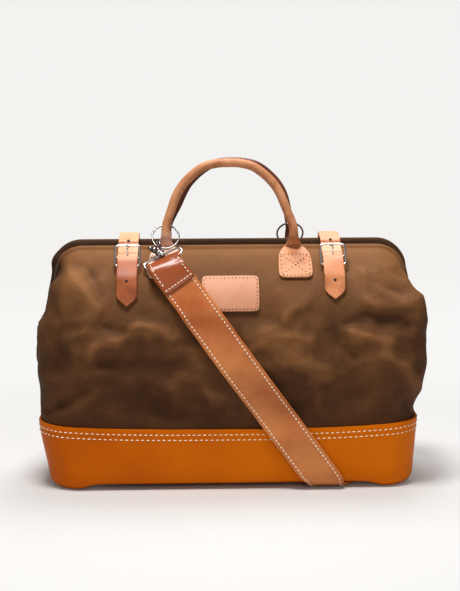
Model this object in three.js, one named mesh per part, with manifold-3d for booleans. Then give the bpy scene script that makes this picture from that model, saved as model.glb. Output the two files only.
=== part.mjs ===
// Doctor bag: a canvas body on a leather base, with a two-rail steel mouth that opens on end pivots,
// rolled leather handles, buckled closure straps and a clip-on shoulder strap.
// Millimetres, +Z up, +X along the bag, the front faces -Y. The origin is on the ground, under the middle.
import * as THREE from "three";
import { mergeVertices } from "three/addons/utils/BufferGeometryUtils.js";
import Module from "manifold-3d";

const wasm = await Module();
wasm.setup();

const V = (x, y, z) => new THREE.Vector3(x, y, z);
const RAD = Math.PI / 180;

// Gap between touching pieces, under sewn pieces and in the base's seam, and the overrun of every cut.
const gap = 0.3;
const clothGap = 0.5;
const seamGap = 0.7;
const overrun = 5;

// The mouth's pivot line, which the rest of the bag is measured from.
const pivotHeight = 205;
const pivotHalfLength = 250;
const pivotHalfDepth = 89.5;

// Leather base tray.
const baseShorter = 7;
const baseHalfLength = pivotHalfLength - baseShorter;
const baseHalfDepth = 84;
const baseFootShorter = 6.5;
const baseFootLength = baseHalfLength - baseFootShorter;
const baseFootDepth = 79;
const baseHeight = 77;
const baseEndRise = 5;
const basePeakRise = 9;
const baseCorner = 44;
const baseFootCorner = 38;
const baseWall = 3;
const baseArch = 7;
const padLength = 39;
const archEnd = baseHalfLength - padLength;
const archRun = 32;
const archFlat = archEnd - archRun;
const peakHalfWidth = 30;
const baseFootRound = 14;
const boardThickness = 4;

// Canvas body below the mouth pivots.
const canvasWall = 2;
const canvasTuck = 16;
const canvasCorner = 52;
const bulgeDrop = 45;
const bulgeLonger = 4;
const bulgeDeeper = 2.5;
const bulgeHeight = pivotHeight - bulgeDrop;
const bulgeHalfLength = pivotHalfLength + bulgeLonger;
const bulgeHalfDepth = pivotHalfDepth + bulgeDeeper;

// Upper canvas halves, swept round the pivot line.
const upperRadius = 85;
const upperShorter = 3.4;
const upperHalfLength = pivotHalfLength - upperShorter;
const upperCorner = 46;
const upperTaper = 0.17;
const upperBow = 1667;
const upperHub = 14;

// Mouth rails and their hems.
const railDiameter = 6;
const hemWall = 1.6;
const hemStart = 38;
const railCorner = 34;
const eyeRadius = 7;
const eyeThickness = 3;
const eyeSink = 1;
const frontRailInset = 29;
const frontRailHalf = pivotHalfLength - frontRailInset;
const frontRailY = 15;
const frontRailRise = 92;
const frontRailZ = pivotHeight + frontRailRise;
const backRailInset = 26;
const backRailHalf = pivotHalfLength - backRailInset;
const backRailY = 9;
const backRailRise = 99;
const backRailZ = pivotHeight + backRailRise;
const eyeInset = 21.5;
const eyeFace = pivotHalfLength - eyeInset;

// Pivot rivets and hinge tabs.
const rivetRadius = 2.5;
const rivetHead = 5.5;
const rivetHeadThickness = 1.4;
const hingeTabThickness = 3;
const hingeTabHalf = 11;
const hingeTabDrop = 42;
const hingeTabRise = 5.5;
const hingeFootHeight = 14;

// Rolled handles and their tabs.
const handleSpan = 162;
const handleTopRise = 212;
const handleTop = pivotHeight + handleTopRise;
const handleRoll = 11;
const handleCore = 7;
const stitchHole = 1;
const handlePivotRise = 108;
const handlePivotZ = pivotHeight + handlePivotRise;
const frontHandleY = 30;
const backHandleY = 36;
const tabWidth = 43;
const tabThickness = 3;
const tabLowRise = 58;
const tabLow = pivotHeight + tabLowRise;
const tabHighRise = 88;
const tabHigh = pivotHeight + tabHighRise;
const tabBackingWidth = 50;
const tabBackingRise = 75;
const tabBackingHigh = pivotHeight + tabBackingRise;
const tabBackingThickness = 2;
const neckWidth = 26;

// Label patch, on the front.
const labelWidth = 74;
const labelLowRise = 21;
const labelLow = pivotHeight + labelLowRise;
const labelHighRise = 59;
const labelHigh = pivotHeight + labelHighRise;
const labelThickness = 2.4;
const labelShift = 1;

// Closure straps and buckles.
const closureX = 128;
const closureWidth = 25.4;
const closureThickness = 3;
const tailTipRise = 27;
const tailTipZ = pivotHeight + tailTipRise;
const tailPoint = 14;
const anchorRise = 31;
const anchorLow = pivotHeight + anchorRise;
const buckleWidth = 33;
const buckleHeight = 28;
const buckleBar = 2.8;
const buckleRound = 3;
const buckleRise = 77;
const buckleZ = pivotHeight + buckleRise;
const prongDiameter = 2.2;
const chapeRise = 61;
const chapeLow = pivotHeight + chapeRise;
const holeRadius = 1.8;
const holePitch = 17;

// Shoulder strap and its snap hooks.
const strapWidth = 44.5;
const strapThickness = 4;
const strapStand = 3.2;
const strapFoot = 112;
const strapBackFoot = 134;
const loopOut = 31;
const loopX = 82;
const loopRise = 79;
const loopZ = pivotHeight + loopRise;
const loopTilt = 25;
const loopWidth = 53;
const loopReach = 12;
const loopWire = 3;
const loopRound = 4.5;
const postDiameter = 4;
const bossWidth = 10;
const ringRadius = 17;
const ringWire = 2.4;
const ringTilt = 56;
const ringClock = 235;
const hookInner = 5.6;
const hookWire = 3;
const hookCollar = 8;
const postHead = 1.2;

// Finishes: colour, roughness and metalness of each kind of surface.
const finishes = {
  canvas: [0x6c472c, 0.95, 0],
  baseLeather: [0xb15500, 0.5, 0],
  tan: [0xc67941, 0.55, 0],
  paleTan: [0xf0c8a8, 0.6, 0],
  handleTan: [0xc29171, 0.55, 0],
  rope: [0xcdbb98, 0.95, 0],
  board: [0x8a7a60, 0.9, 0],
  steel: [0x8c8c8c, 0.45, 0.9],
  nickel: [0xd8d6d0, 0.25, 1],
  darkNickel: [0x77746e, 0.3, 1],
};

const bag = new THREE.Group();
bag.name = "doctor_bag";

function solid(geometry) {
  const bare = geometry.clone();
  for (const name of Object.keys(bare.attributes)) if (name !== "position") bare.deleteAttribute(name);
  const merged = mergeVertices(bare);
  const corners = [];
  for (let i = 0; i < merged.index.count; i += 3) {
    const [a, b, c] = [0, 1, 2].map((k) => merged.index.array[i + k]);
    if (a !== b && b !== c && c !== a) corners.push(a, b, c);
  }
  const place = merged.attributes.position.array;
  if (volumeOf(place, corners) < 0) corners.reverse();
  const vertProperties = new Float32Array(place);
  return new wasm.Manifold(new wasm.Mesh({ numProp: 3, vertProperties, triVerts: new Uint32Array(corners) }));
}

function volumeOf(place, corners) {
  let sum = 0;
  for (let i = 0; i < corners.length; i += 3) {
    const [a, b, c] = [0, 1, 2].map((k) => new THREE.Vector3().fromArray(place, 3 * corners[i + k]));
    sum += a.dot(b.cross(c));
  }
  return sum;
}

function geometryOf(body) {
  const { vertProperties, triVerts } = body.getMesh();
  const geometry = new THREE.BufferGeometry();
  geometry.setAttribute("position", new THREE.BufferAttribute(new Float32Array(vertProperties), 3));
  geometry.setIndex(new THREE.BufferAttribute(new Uint32Array(triVerts), 1));
  return geometry;
}

function add(name, shape, finish) {
  const body = shape.isBufferGeometry ? solid(shape) : shape;
  const geometry = geometryOf(body).toNonIndexed();
  geometry.computeVertexNormals();
  const [color, roughness, metalness] = finishes[finish];
  const mesh = new THREE.Mesh(geometry, new THREE.MeshStandardMaterial({ color, roughness, metalness }));
  mesh.name = name;
  bag.add(mesh);
}

// Triangles of a list of four-cornered faces.
function fromQuads(quads) {
  const list = quads.flatMap(([a, b, c, d]) => [a, b, c, a, c, d]);
  return new THREE.BufferGeometry().setFromPoints(list);
}

// A closed body through rings of equally many points, with a flat fan over each end.
function loft(rings) {
  const count = rings[0].length;
  const quads = [];
  for (let r = 0; r + 1 < rings.length; r++)
    for (let k = 0; k < count; k++) {
      const n = (k + 1) % count;
      quads.push([rings[r][k], rings[r][n], rings[r + 1][n], rings[r + 1][k]]);
    }
  for (const [ring, flip] of [[rings[0], true], [rings.at(-1), false]]) {
    const middle = ring.reduce((sum, p) => sum.add(p), V(0, 0, 0)).divideScalar(count);
    for (let k = 0; k < count; k++) {
      const [a, b] = [ring[k], ring[(k + 1) % count]];
      quads.push(flip ? [middle, b, a, middle] : [middle, a, b, middle]);
    }
  }
  return fromQuads(quads);
}

// A closed wall between two grids of points, rows by columns. A wrapped wall closes on itself along its
// columns.
function wall(outer, inner, rows, columns, wraps) {
  const grid = (f) => Array.from({ length: rows + 1 }, (_, r) =>
    Array.from({ length: columns + 1 }, (_, c) => f(r, wraps ? c % columns : c)));
  const [out, inn] = [grid(outer), grid(inner)];
  const quads = [];
  for (let r = 0; r < rows; r++)
    for (let c = 0; c < columns; c++) {
      quads.push([out[r][c], out[r][c + 1], out[r + 1][c + 1], out[r + 1][c]]);
      quads.push([inn[r][c], inn[r + 1][c], inn[r + 1][c + 1], inn[r][c + 1]]);
    }
  for (let c = 0; c < columns; c++) {
    quads.push([out[0][c + 1], out[0][c], inn[0][c], inn[0][c + 1]]);
    quads.push([out[rows][c], out[rows][c + 1], inn[rows][c + 1], inn[rows][c]]);
  }
  for (let r = 0; r < rows && !wraps; r++) {
    quads.push([out[r][0], out[r + 1][0], inn[r + 1][0], inn[r][0]]);
    quads.push([out[r + 1][columns], out[r][columns], inn[r][columns], inn[r + 1][columns]]);
  }
  return fromQuads(quads);
}

function placed(geometry, origin, xAxis, yAxis, zAxis) {
  const matrix = new THREE.Matrix4().makeBasis(xAxis, yAxis, zAxis).setPosition(origin);
  return geometry.applyMatrix4(matrix);
}

// A round bar between two points.
function bar(from, to, radius, sides = 12) {
  const along = to.clone().sub(from);
  const geometry = new THREE.CylinderGeometry(radius, radius, along.length(), sides);
  const turn = new THREE.Quaternion().setFromUnitVectors(V(0, 1, 0), along.clone().normalize());
  return geometry.applyQuaternion(turn).translate(...from.clone().add(to).divideScalar(2).toArray());
}

function circle(radius, sides, hole = 0) {
  const round = (r) => Array.from({ length: sides }, (_, k) =>
    new THREE.Vector2(r, 0).rotateAround(new THREE.Vector2(), (2 * Math.PI * k) / sides));
  const shape = new THREE.Shape(round(radius));
  if (hole) shape.holes.push(new THREE.Path(round(hole)));
  return shape;
}

// A path with one station at each of its points, so that a core and its sleeve share their stations.
class Route extends THREE.Curve {
  constructor(points) {
    super();
    this.points = points;
  }
  getPoint(t) {
    const place = t * (this.points.length - 1);
    const k = Math.min(Math.floor(place), this.points.length - 2);
    return this.points[k].clone().lerp(this.points[k + 1], place - k);
  }
  getPointAt(t) {
    return this.getPoint(t);
  }
  getTangentAt(t) {
    const step = 0.5 / (this.points.length - 1);
    return this.getPoint(Math.min(t + step, 1)).sub(this.getPoint(Math.max(t - step, 0))).normalize();
  }
}

// A round section, solid or hollow, swept through the points.
function sweep(points, radius, sides = 8, hole = 0) {
  const extrudePath = new Route(points);
  const steps = points.length - 1;
  return new THREE.ExtrudeGeometry(circle(radius, sides, hole), { steps, extrudePath, bevelEnabled: false });
}

// Evenly spaced points on a smooth line through the given ones.
const smooth = (points, steps) =>
  new THREE.CatmullRomCurve3(points, false, "centripetal").getSpacedPoints(steps);

const mix = THREE.MathUtils.lerp;
const clamp = THREE.MathUtils.clamp;
const ease = (share) => (1 - Math.cos(Math.PI * clamp(share, 0, 1))) / 2;

// One point of a rounded rectangle of half sizes hx and hy. The points run round from the middle of the
// +X end.
const endSteps = 2;
const cornerSteps = 5;
const sideSteps = 5;
const quarterSteps = endSteps + cornerSteps + sideSteps;
const outlineSteps = 4 * quarterSteps;
function outline(index, hx, hy, corner) {
  const quarter = Math.floor(index / quarterSteps) % 4;
  const k = quarter % 2 ? quarterSteps - (index % quarterSteps) : index % quarterSteps;
  let point;
  if (k < endSteps) point = [hx, ((hy - corner) * k) / endSteps];
  else if (k <= endSteps + cornerSteps) {
    const turn = ((k - endSteps) / cornerSteps) * 90 * RAD;
    point = [hx - corner + corner * Math.cos(turn), hy - corner + corner * Math.sin(turn)];
  } else point = [((hx - corner) * (quarterSteps - k)) / sideSteps, hy];
  return [quarter === 1 || quarter === 2 ? -point[0] : point[0], quarter > 1 ? -point[1] : point[1]];
}

// Half length, half depth and corner of the base and of the canvas at a height. Up to the base's top edge
// the canvas lies just inside the base, and above it the base's raised ends lie just outside the canvas.
const fitIn = baseWall + seamGap;
function canvasSection(z) {
  if (z < baseHeight) return baseSection(z).map((size) => size - fitIn);
  const low = [baseHalfLength - fitIn, baseHalfDepth - fitIn, baseCorner - fitIn];
  const bulge = [bulgeHalfLength, bulgeHalfDepth, canvasCorner];
  const top = [pivotHalfLength, pivotHalfDepth, canvasCorner];
  const share = (z - baseHeight) / (bulgeHeight - baseHeight);
  if (z <= bulgeHeight) return low.map((size, k) => mix(size, bulge[k], ease(share)));
  const rise = (z - bulgeHeight) / (pivotHeight - bulgeHeight);
  return bulge.map((size, k) => mix(size, top[k], rise * rise));
}
function baseSection(z) {
  if (z >= baseHeight) return canvasSection(z).map((size) => size + fitIn);
  const share = (z - baseFootRound) / (baseHeight - baseFootRound);
  const foot = [baseFootLength, baseFootDepth, baseFootCorner];
  return foot.map((size, k) => mix(size, [baseHalfLength, baseHalfDepth, baseCorner][k], share));
}

// The base's underside is raised between the pads at its two ends.
const archAt = (x) => baseArch * (1 - ease((Math.abs(x) - archFlat) / (archEnd - archFlat)));
// The top edge rises towards the corners, and to a peak at the middle of each end.
function baseTopAt(x, y) {
  const peak = Math.abs(x) > baseHalfLength - baseCorner ? ease(1 - Math.abs(y) / peakHalfWidth) : 0;
  return baseHeight + baseEndRise * Math.abs(x / baseHalfLength) ** 3 + basePeakRise * peak;
}

const floorShares = [0, 0.5, 0.77, 0.92, 1];
const roundSteps = 2;
const wallSteps = 3;
function basePoint(row, column, inset) {
  const innerFoot = [baseFootLength, baseFootDepth, baseFootCorner].map((size) => size - baseFootRound);
  if (row < floorShares.length) {
    const [x, y] = outline(column, ...innerFoot).map((v) => v * floorShares[row]);
    return V(x, y, archAt(x) + inset);
  }
  const turn = ((row - floorShares.length + 1) / roundSteps) * 90 * RAD;
  if (turn <= 90 * RAD + Number.EPSILON) {
    const radius = baseFootRound - inset;
    const [x, y] = outline(column, ...innerFoot.map((size) => size + radius * Math.sin(turn)));
    return V(x, y, archAt(x) + baseFootRound - radius * Math.cos(turn));
  }
  const share = (row - floorShares.length - roundSteps + 1) / wallSteps;
  const [footX, footY] = outline(column, ...baseSection(baseFootRound));
  const z = mix(baseFootRound + archAt(footX) * (1 - share), baseTopAt(footX, footY), share);
  const [x, y] = outline(column, ...baseSection(z).map((size) => size - inset));
  return V(x, y, z);
}

function makeBase() {
  const rows = floorShares.length + roundSteps + wallSteps - 1;
  const skin = (inset) => (r, c) => basePoint(r, c, inset);
  add("leather_base", wall(skin(0), skin(baseWall), rows, outlineSteps, true), "baseLeather");
  const level = (height) => (r, c) => basePoint(r, c, baseWall).add(V(0, 0, height));
  const boardRows = floorShares.length - 2;
  add("base_board", wall(level(gap), level(gap + boardThickness), boardRows, outlineSteps, true), "board");
}

const canvasSteps = 6;
function makeCanvasBody() {
  const low = baseHeight - canvasTuck;
  const point = (inset) => (row, column) => {
    const z = mix(low, pivotHeight, row / canvasSteps);
    const [x, y] = outline(column, ...canvasSection(z).map((size) => size - inset));
    return V(x, y, z);
  };
  add("canvas_body", wall(point(0), point(canvasWall), canvasSteps, outlineSteps, true), "canvas");
}

// Each half of the mouth is described in polar form round the pivot line: an angle up from the horizontal,
// a radius out from the line, and a side, -1 for the front and 1 for the back.
const hemRadius = railDiameter / 2 + 2 * gap + hemWall;
const halves = {
  front: { side: -1, railHalf: frontRailHalf, y: frontRailY, z: frontRailZ, handleY: frontHandleY },
  back: { side: 1, railHalf: backRailHalf, y: backRailY, z: backRailZ, handleY: backHandleY },
};
for (const half of Object.values(halves)) {
  half.reach = Math.hypot(half.y, half.z - pivotHeight);
  half.tilt = Math.atan2(half.z - pivotHeight, half.y);
}
const straightTo = 45 * RAD;
const polar = (half, x, radius, angle) =>
  V(x, half.side * radius * Math.cos(angle), pivotHeight + radius * Math.sin(angle));
// The canvas stands at one radius up to the angle that can swing down inside the body, then draws in to
// the rail.
const canvasRadius = (half, angle) =>
  mix(upperRadius, half.reach, ease((angle - straightTo) / (half.tilt - straightTo)));
// The angle at which the canvas, or a level above it, stands at a height. Each pass comes nearer to it.
const anglePasses = 12;
const angleAt = (half, z, level = 0) => {
  let angle = 0;
  for (let pass = 0; pass < anglePasses; pass++) {
    const radius = canvasRadius(half, angle) + level;
    angle = Math.asin(clamp((z - pivotHeight) / radius, -1, 1));
  }
  return angle;
};

// Outline of an upper half in its own plane: along one end, round the corner and over to the other end.
const hubSteps = 4;
const roundingSteps = 5;
const spanSteps = 6;
const upperColumns = 2 * (hubSteps + roundingSteps) + spanSteps;
const upperRows = 8;
function upperPoint(half, row, rows, column, inset) {
  const mirror = column > upperColumns / 2 ? -1 : 1;
  const k = mirror > 0 ? column : upperColumns - column;
  const top = (radius) => half.tilt - Math.asin((hemRadius + 2 * gap) / radius);
  const full = (angle) => canvasRadius(half, angle) - inset;
  const share = row / rows;
  let radius = full(share * top(half.reach));
  let inward = 0;
  if (k < hubSteps) radius = mix(upperHub, radius - upperCorner, k / hubSteps);
  else if (k <= hubSteps + roundingSteps) {
    const turn = ((k - hubSteps) / roundingSteps) * 90 * RAD;
    const corner = upperCorner - inset;
    radius += corner * (Math.sin(turn) - 1);
    inward = corner * (1 - Math.cos(turn));
  } else inward = mix(upperCorner, upperHalfLength, (k - hubSteps - roundingSteps) / (spanSteps / 2));
  const angle = share * top(Math.max(radius, upperHub));
  const height = radius * Math.sin(angle);
  const end = upperHalfLength - upperTaper * height - (height * height) / upperBow - inset;
  const x = k <= hubSteps + roundingSteps ? end - inward
    : (end - upperCorner) * (1 - (k - hubSteps - roundingSteps) / (spanSteps / 2));
  return polar(half, -mirror * x, radius, angle);
}

const railCornerSteps = 6;
const railShares = [0.66, 0.33];
function railPoints(half, legX) {
  const flat = half.railHalf - railCorner;
  const leg = half.reach - railCorner;
  const points = [];
  const straight = 2 * eyeRadius;
  for (const radius of [eyeRadius - eyeSink, straight, hemStart])
    points.push([mix(legX, half.railHalf, Math.max(radius - straight, 0) / (leg - straight)), radius]);
  for (let k = 0; k <= railCornerSteps; k++) {
    const turn = (k / railCornerSteps) * 90 * RAD;
    points.push([flat + railCorner * Math.cos(turn), leg + railCorner * Math.sin(turn)]);
  }
  for (const share of railShares) points.push([flat * share, half.reach]);
  const whole = [...points, [0, half.reach], ...points.toReversed().map(([x, r]) => [-x, r])];
  return whole.map(([x, radius]) => polar(half, x, radius, half.tilt));
}

// Each pivot is a stack along X: inner rivet head, front eye, back eye, washer, hinge tab, outer rivet
// head.
// The rails' round legs stand clear of each other, so they sit off the middle of their flat eyes.
const backEyeFace = eyeFace + eyeThickness + gap;
const washerFace = backEyeFace + eyeThickness + gap;
const washerThickness = railDiameter - eyeThickness;
const hingeTabFace = washerFace + washerThickness + gap;
const outerHeadFace = hingeTabFace + hingeTabThickness + gap;

function makeMouthHalf(name, half) {
  const face = half.side < 0 ? eyeFace : backEyeFace;
  const eyeX = face + eyeThickness / 2;
  const legX = eyeX + (half.side * (railDiameter - eyeThickness)) / 2;
  let rail = solid(sweep(railPoints(half, legX), railDiameter / 2));
  for (const end of [-1, 1]) {
    const at = (offset) => V(end * (eyeX + offset), 0, pivotHeight);
    rail = rail.add(solid(bar(at(-eyeThickness / 2), at(eyeThickness / 2), eyeRadius, 14)));
    rail = rail.subtract(solid(bar(at(-overrun), at(overrun), rivetRadius + gap, 12)));
  }
  add(`${name}_rail`, rail, "steel");
  const bore = railDiameter / 2 + 2 * gap;
  add(`${name}_mouth_hem`, sweep(railPoints(half, legX).slice(2, -2), hemRadius, 8, bore), "canvas");
  const skin = (inset) => (row, column) => upperPoint(half, row, upperRows, column, inset);
  add(`${name}_canvas_upper`, wall(skin(0), skin(canvasWall), upperRows, upperColumns, false), "canvas");
}

// A curved plate that lies on an upper half between two heights, as thick as the two levels say.
const layerSteps = 8;
function layer(half, fromX, toX, lowZ, highZ, under, over) {
  const [low, high] = [angleAt(half, lowZ, under), angleAt(half, highZ, under)];
  const line = (level) => Array.from({ length: layerSteps + 1 }, (_, k) => {
    const angle = mix(low, high, k / layerSteps);
    const radius = canvasRadius(half, angle) + level;
    return new THREE.Vector2(half.side * radius * Math.cos(angle), pivotHeight + radius * Math.sin(angle));
  });
  const shape = new THREE.Shape([...line(under), ...line(over).reverse()]);
  const plate = new THREE.ExtrudeGeometry(shape, { depth: toX - fromX, bevelEnabled: false });
  return placed(plate, V(fromX, 0, 0), V(0, 1, 0), V(0, 0, 1), V(1, 0, 0));
}

// A handle is a leather roll round a rope core. Each end of the roll is closed but for a stitch hole, and
// turns on the neck of a tab.
const neckRoot = 2 * RAD;
const handleSteps = 20;
const spanShares = [1, 1, 0.985, 0.915, 0.8, 0.64, 0.41, 0.2, 0];
const riseShares = [0, 0.06, 0.16, 0.345, 0.61, 0.79, 0.94, 0.99, 1];
function makeHandle(name, half) {
  const y = half.side * half.handleY;
  const top = handleTop - handleRoll / 2 - handlePivotZ;
  const side = spanShares.map((share, k) =>
    V((-share * handleSpan) / 2, y, handlePivotZ + riseShares[k] * top));
  const arch = smooth([...side, ...side.slice(0, -1).reverse().map((p) => V(-p.x, p.y, p.z))], handleSteps);
  let wrap = solid(sweep(arch, handleRoll / 2));
  for (const foot of [arch[0], arch.at(-1)])
    wrap = wrap.add(solid(new THREE.SphereGeometry(handleRoll / 2, 8, 6).translate(...foot.toArray())));
  const below = (foot, drop) => foot.clone().add(V(0, 0, -drop));
  const channel = [below(arch[0], 2 * gap), ...arch, below(arch.at(-1), 2 * gap)];
  wrap = wrap.subtract(solid(sweep(channel, handleCore / 2 + 3 * gap)));
  for (const foot of [arch[0], arch.at(-1)])
    wrap = wrap.subtract(solid(bar(foot, below(foot, handleRoll / 2 + overrun), stitchHole, 6)));
  add(`${name}_handle`, wrap, "handleTan");
  add(`${name}_handle_core`, sweep(arch, handleCore / 2), "rope");

  for (const end of [-1, 1]) {
    const x = (end * handleSpan) / 2;
    const word = end < 0 ? "left" : "right";
    const tabOut = clothGap + tabThickness;
    const flat = solid(layer(half, x - tabWidth / 2, x + tabWidth / 2, tabLow, tabHigh, clothGap, tabOut));
    const high = angleAt(half, tabHigh, clothGap);
    const edge = (angle, level) => polar(half, 0, canvasRadius(half, angle) + level, angle);
    const neckTop = V(0, y, handlePivotZ - handleRoll / 2 - gap);
    const ring = (near, far, reach) => [V(x - reach, near.y, near.z), V(x + reach, near.y, near.z),
      V(x + reach, far.y, far.z), V(x - reach, far.y, far.z)];
    const rooted = (angle) => ring(edge(angle, clothGap + gap), edge(angle, tabOut - gap), neckWidth / 2);
    const toward = neckTop.clone().setY(y - half.side * handleCore / 2);
    const away = neckTop.clone().setY(y + half.side * handleCore / 2);
    const neck = [rooted(high - neckRoot), rooted(high), ring(toward, away, handleRoll / 2)];
    add(`${name}_${word}_tab`, flat.add(solid(loft(neck))), "paleTan");
    const [reach, inside] = [tabBackingWidth / 2, -canvasWall - clothGap];
    const backing = layer(half, x - reach, x + reach, tabLow, tabBackingHigh,
      inside - tabBackingThickness, inside);
    add(`${name}_${word}_tab_backing`, backing, "paleTan");
  }
}

// A rivet, a washer and a leather tab carry the two rails at each end. The tab's foot is sewn to the canvas
// below the sweep of the upper halves.
function makePivot(word, end) {
  const at = (x) => V(end * x, 0, pivotHeight);
  const disc = (from, to, radius) => solid(bar(at(from), at(to), radius, 12));
  const innerHead = eyeFace - gap - rivetHeadThickness;
  const outerEnd = outerHeadFace + rivetHeadThickness;
  let rivet = disc(innerHead, outerEnd, rivetRadius);
  rivet = rivet.add(disc(innerHead, innerHead + rivetHeadThickness, rivetHead));
  rivet = rivet.add(disc(outerHeadFace, outerEnd, rivetHead));
  add(`${word}_pivot_rivet`, rivet, "steel");
  const bore = disc(washerFace - overrun, outerEnd + overrun, rivetRadius + gap);
  const washer = disc(washerFace, washerFace + washerThickness, rivetHead);
  add(`${word}_pivot_washer`, washer.subtract(bore), "steel");

  const low = pivotHeight - hingeTabDrop;
  const [seatLow] = canvasSection(low);
  const seat = Math.min(seatLow, canvasSection(low + hingeFootHeight)[0]) - canvasWall - gap;
  const outerFace = hingeTabFace + hingeTabThickness;
  const outlinePoints = [
    [hingeTabFace, pivotHeight + hingeTabRise], [outerFace, pivotHeight + hingeTabRise],
    [outerFace, low + hingeFootHeight + hingeTabThickness], [seat, low + hingeFootHeight],
    [seat, low], [seat - hingeTabThickness, low], [hingeTabFace, low + hingeFootHeight],
  ];
  const shape = new THREE.Shape(outlinePoints.map(([x, z]) => new THREE.Vector2(end * x, z)));
  const tab = new THREE.ExtrudeGeometry(shape, { depth: 2 * hingeTabHalf, bevelEnabled: false });
  placed(tab, V(0, hingeTabHalf, 0), V(1, 0, 0), V(0, 0, 1), V(0, -1, 0));
  add(`${word}_hinge_tab`, solid(tab).subtract(bore), "tan");
}

// A flat band along a line of points in one plane square to X. Each point gives y, z and the band's half
// width there.
function bandRings(points, x, thickness) {
  return points.map(([y, z, half], k) => {
    const [before, after] = [points[Math.max(k - 1, 0)], points[Math.min(k + 1, points.length - 1)]];
    const along = V(0, after[0] - before[0], after[1] - before[1]).normalize();
    const out = V(0, along.z, -along.y).multiplyScalar(thickness / 2);
    const corner = (side, face) => V(x + side * half, y, z).addScaledVector(out, face);
    return [corner(-1, -1), corner(1, -1), corner(1, 1), corner(-1, 1)];
  });
}

// The closure strap's middle line, from the back of the rim over both hems and down the front to its tip.
const strapOverHem = hemRadius + gap + closureThickness / 2;
const buckleLevel = clothGap + 2 * closureThickness + buckleBar + 5 * gap;
const barLevel = clothGap + closureThickness + gap + buckleBar / 2;
const throughLevel = barLevel + buckleBar / 2 + gap + closureThickness / 2;
const hugLevel = clothGap + closureThickness / 2;
function onHem(half, turn, level = 0) {
  const middle = V(0, half.side * half.y, half.z);
  const reach = strapOverHem + level;
  return [middle.y + reach * Math.cos(turn * RAD), middle.z + reach * Math.sin(turn * RAD)];
}
const onCanvas = (half, z, level) => {
  const angle = angleAt(half, z, level);
  const point = polar(half, 0, canvasRadius(half, angle) + level, angle);
  return [point.y, point.z];
};
const backHemTurns = [70, 95];
const frontHemTurns = [100, 125];
const leaveTurn = 150;
const closureSteps = 30;
const tailShares = [0.3, 0.6, 0.85, 1];
const tailLieShare = 0.83;
function closureLine() {
  const { front, back } = halves;
  const over = [...backHemTurns.map((turn) => onHem(back, turn, gap)),
    ...frontHemTurns.map((turn) => onHem(front, turn)), onHem(front, leaveTurn, gap)];
  const [top, low] = [buckleZ + buckleHeight / 4, buckleZ - buckleHeight / 2];
  const down = [[top, throughLevel], [buckleZ, throughLevel + gap], [low, throughLevel]];
  const tail = tailShares.map((share) =>
    [mix(low, tailTipZ, share), mix(throughLevel, hugLevel, ease(share / tailLieShare))]);
  const points = [...over, ...[...down, ...tail].map(([z, level]) => onCanvas(front, z, level))];
  return smooth(points.map(([y, z]) => V(0, y, z)), closureSteps);
}

// Local axes of a piece on an upper half: along X, up the surface and out of it.
function surfaceAxes(half, z, level, x) {
  const angle = angleAt(half, z, level);
  const at = (turn) => polar(half, x, canvasRadius(half, turn) + level, turn);
  const up = at(angle + neckRoot).sub(at(angle - neckRoot)).normalize();
  const across = V(-half.side, 0, 0);
  return [at(angle), across, up, across.clone().cross(up)];
}

function rounded(halfWidth, halfHeight, corner) {
  const shape = new THREE.Shape();
  shape.moveTo(halfWidth, corner - halfHeight);
  const corners = [[1, 1, 0], [-1, 1, 90], [-1, -1, 180], [1, -1, 270]];
  for (const [x, y, turn] of corners)
    shape.absarc(x * (halfWidth - corner), y * (halfHeight - corner), corner, turn * RAD, (turn + 90) * RAD);
  return shape;
}

function slab(shape, low, high) {
  const settings = { depth: high - low, bevelEnabled: false, curveSegments: 4 };
  return new THREE.ExtrudeGeometry(shape, settings).translate(0, 0, low);
}

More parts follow.
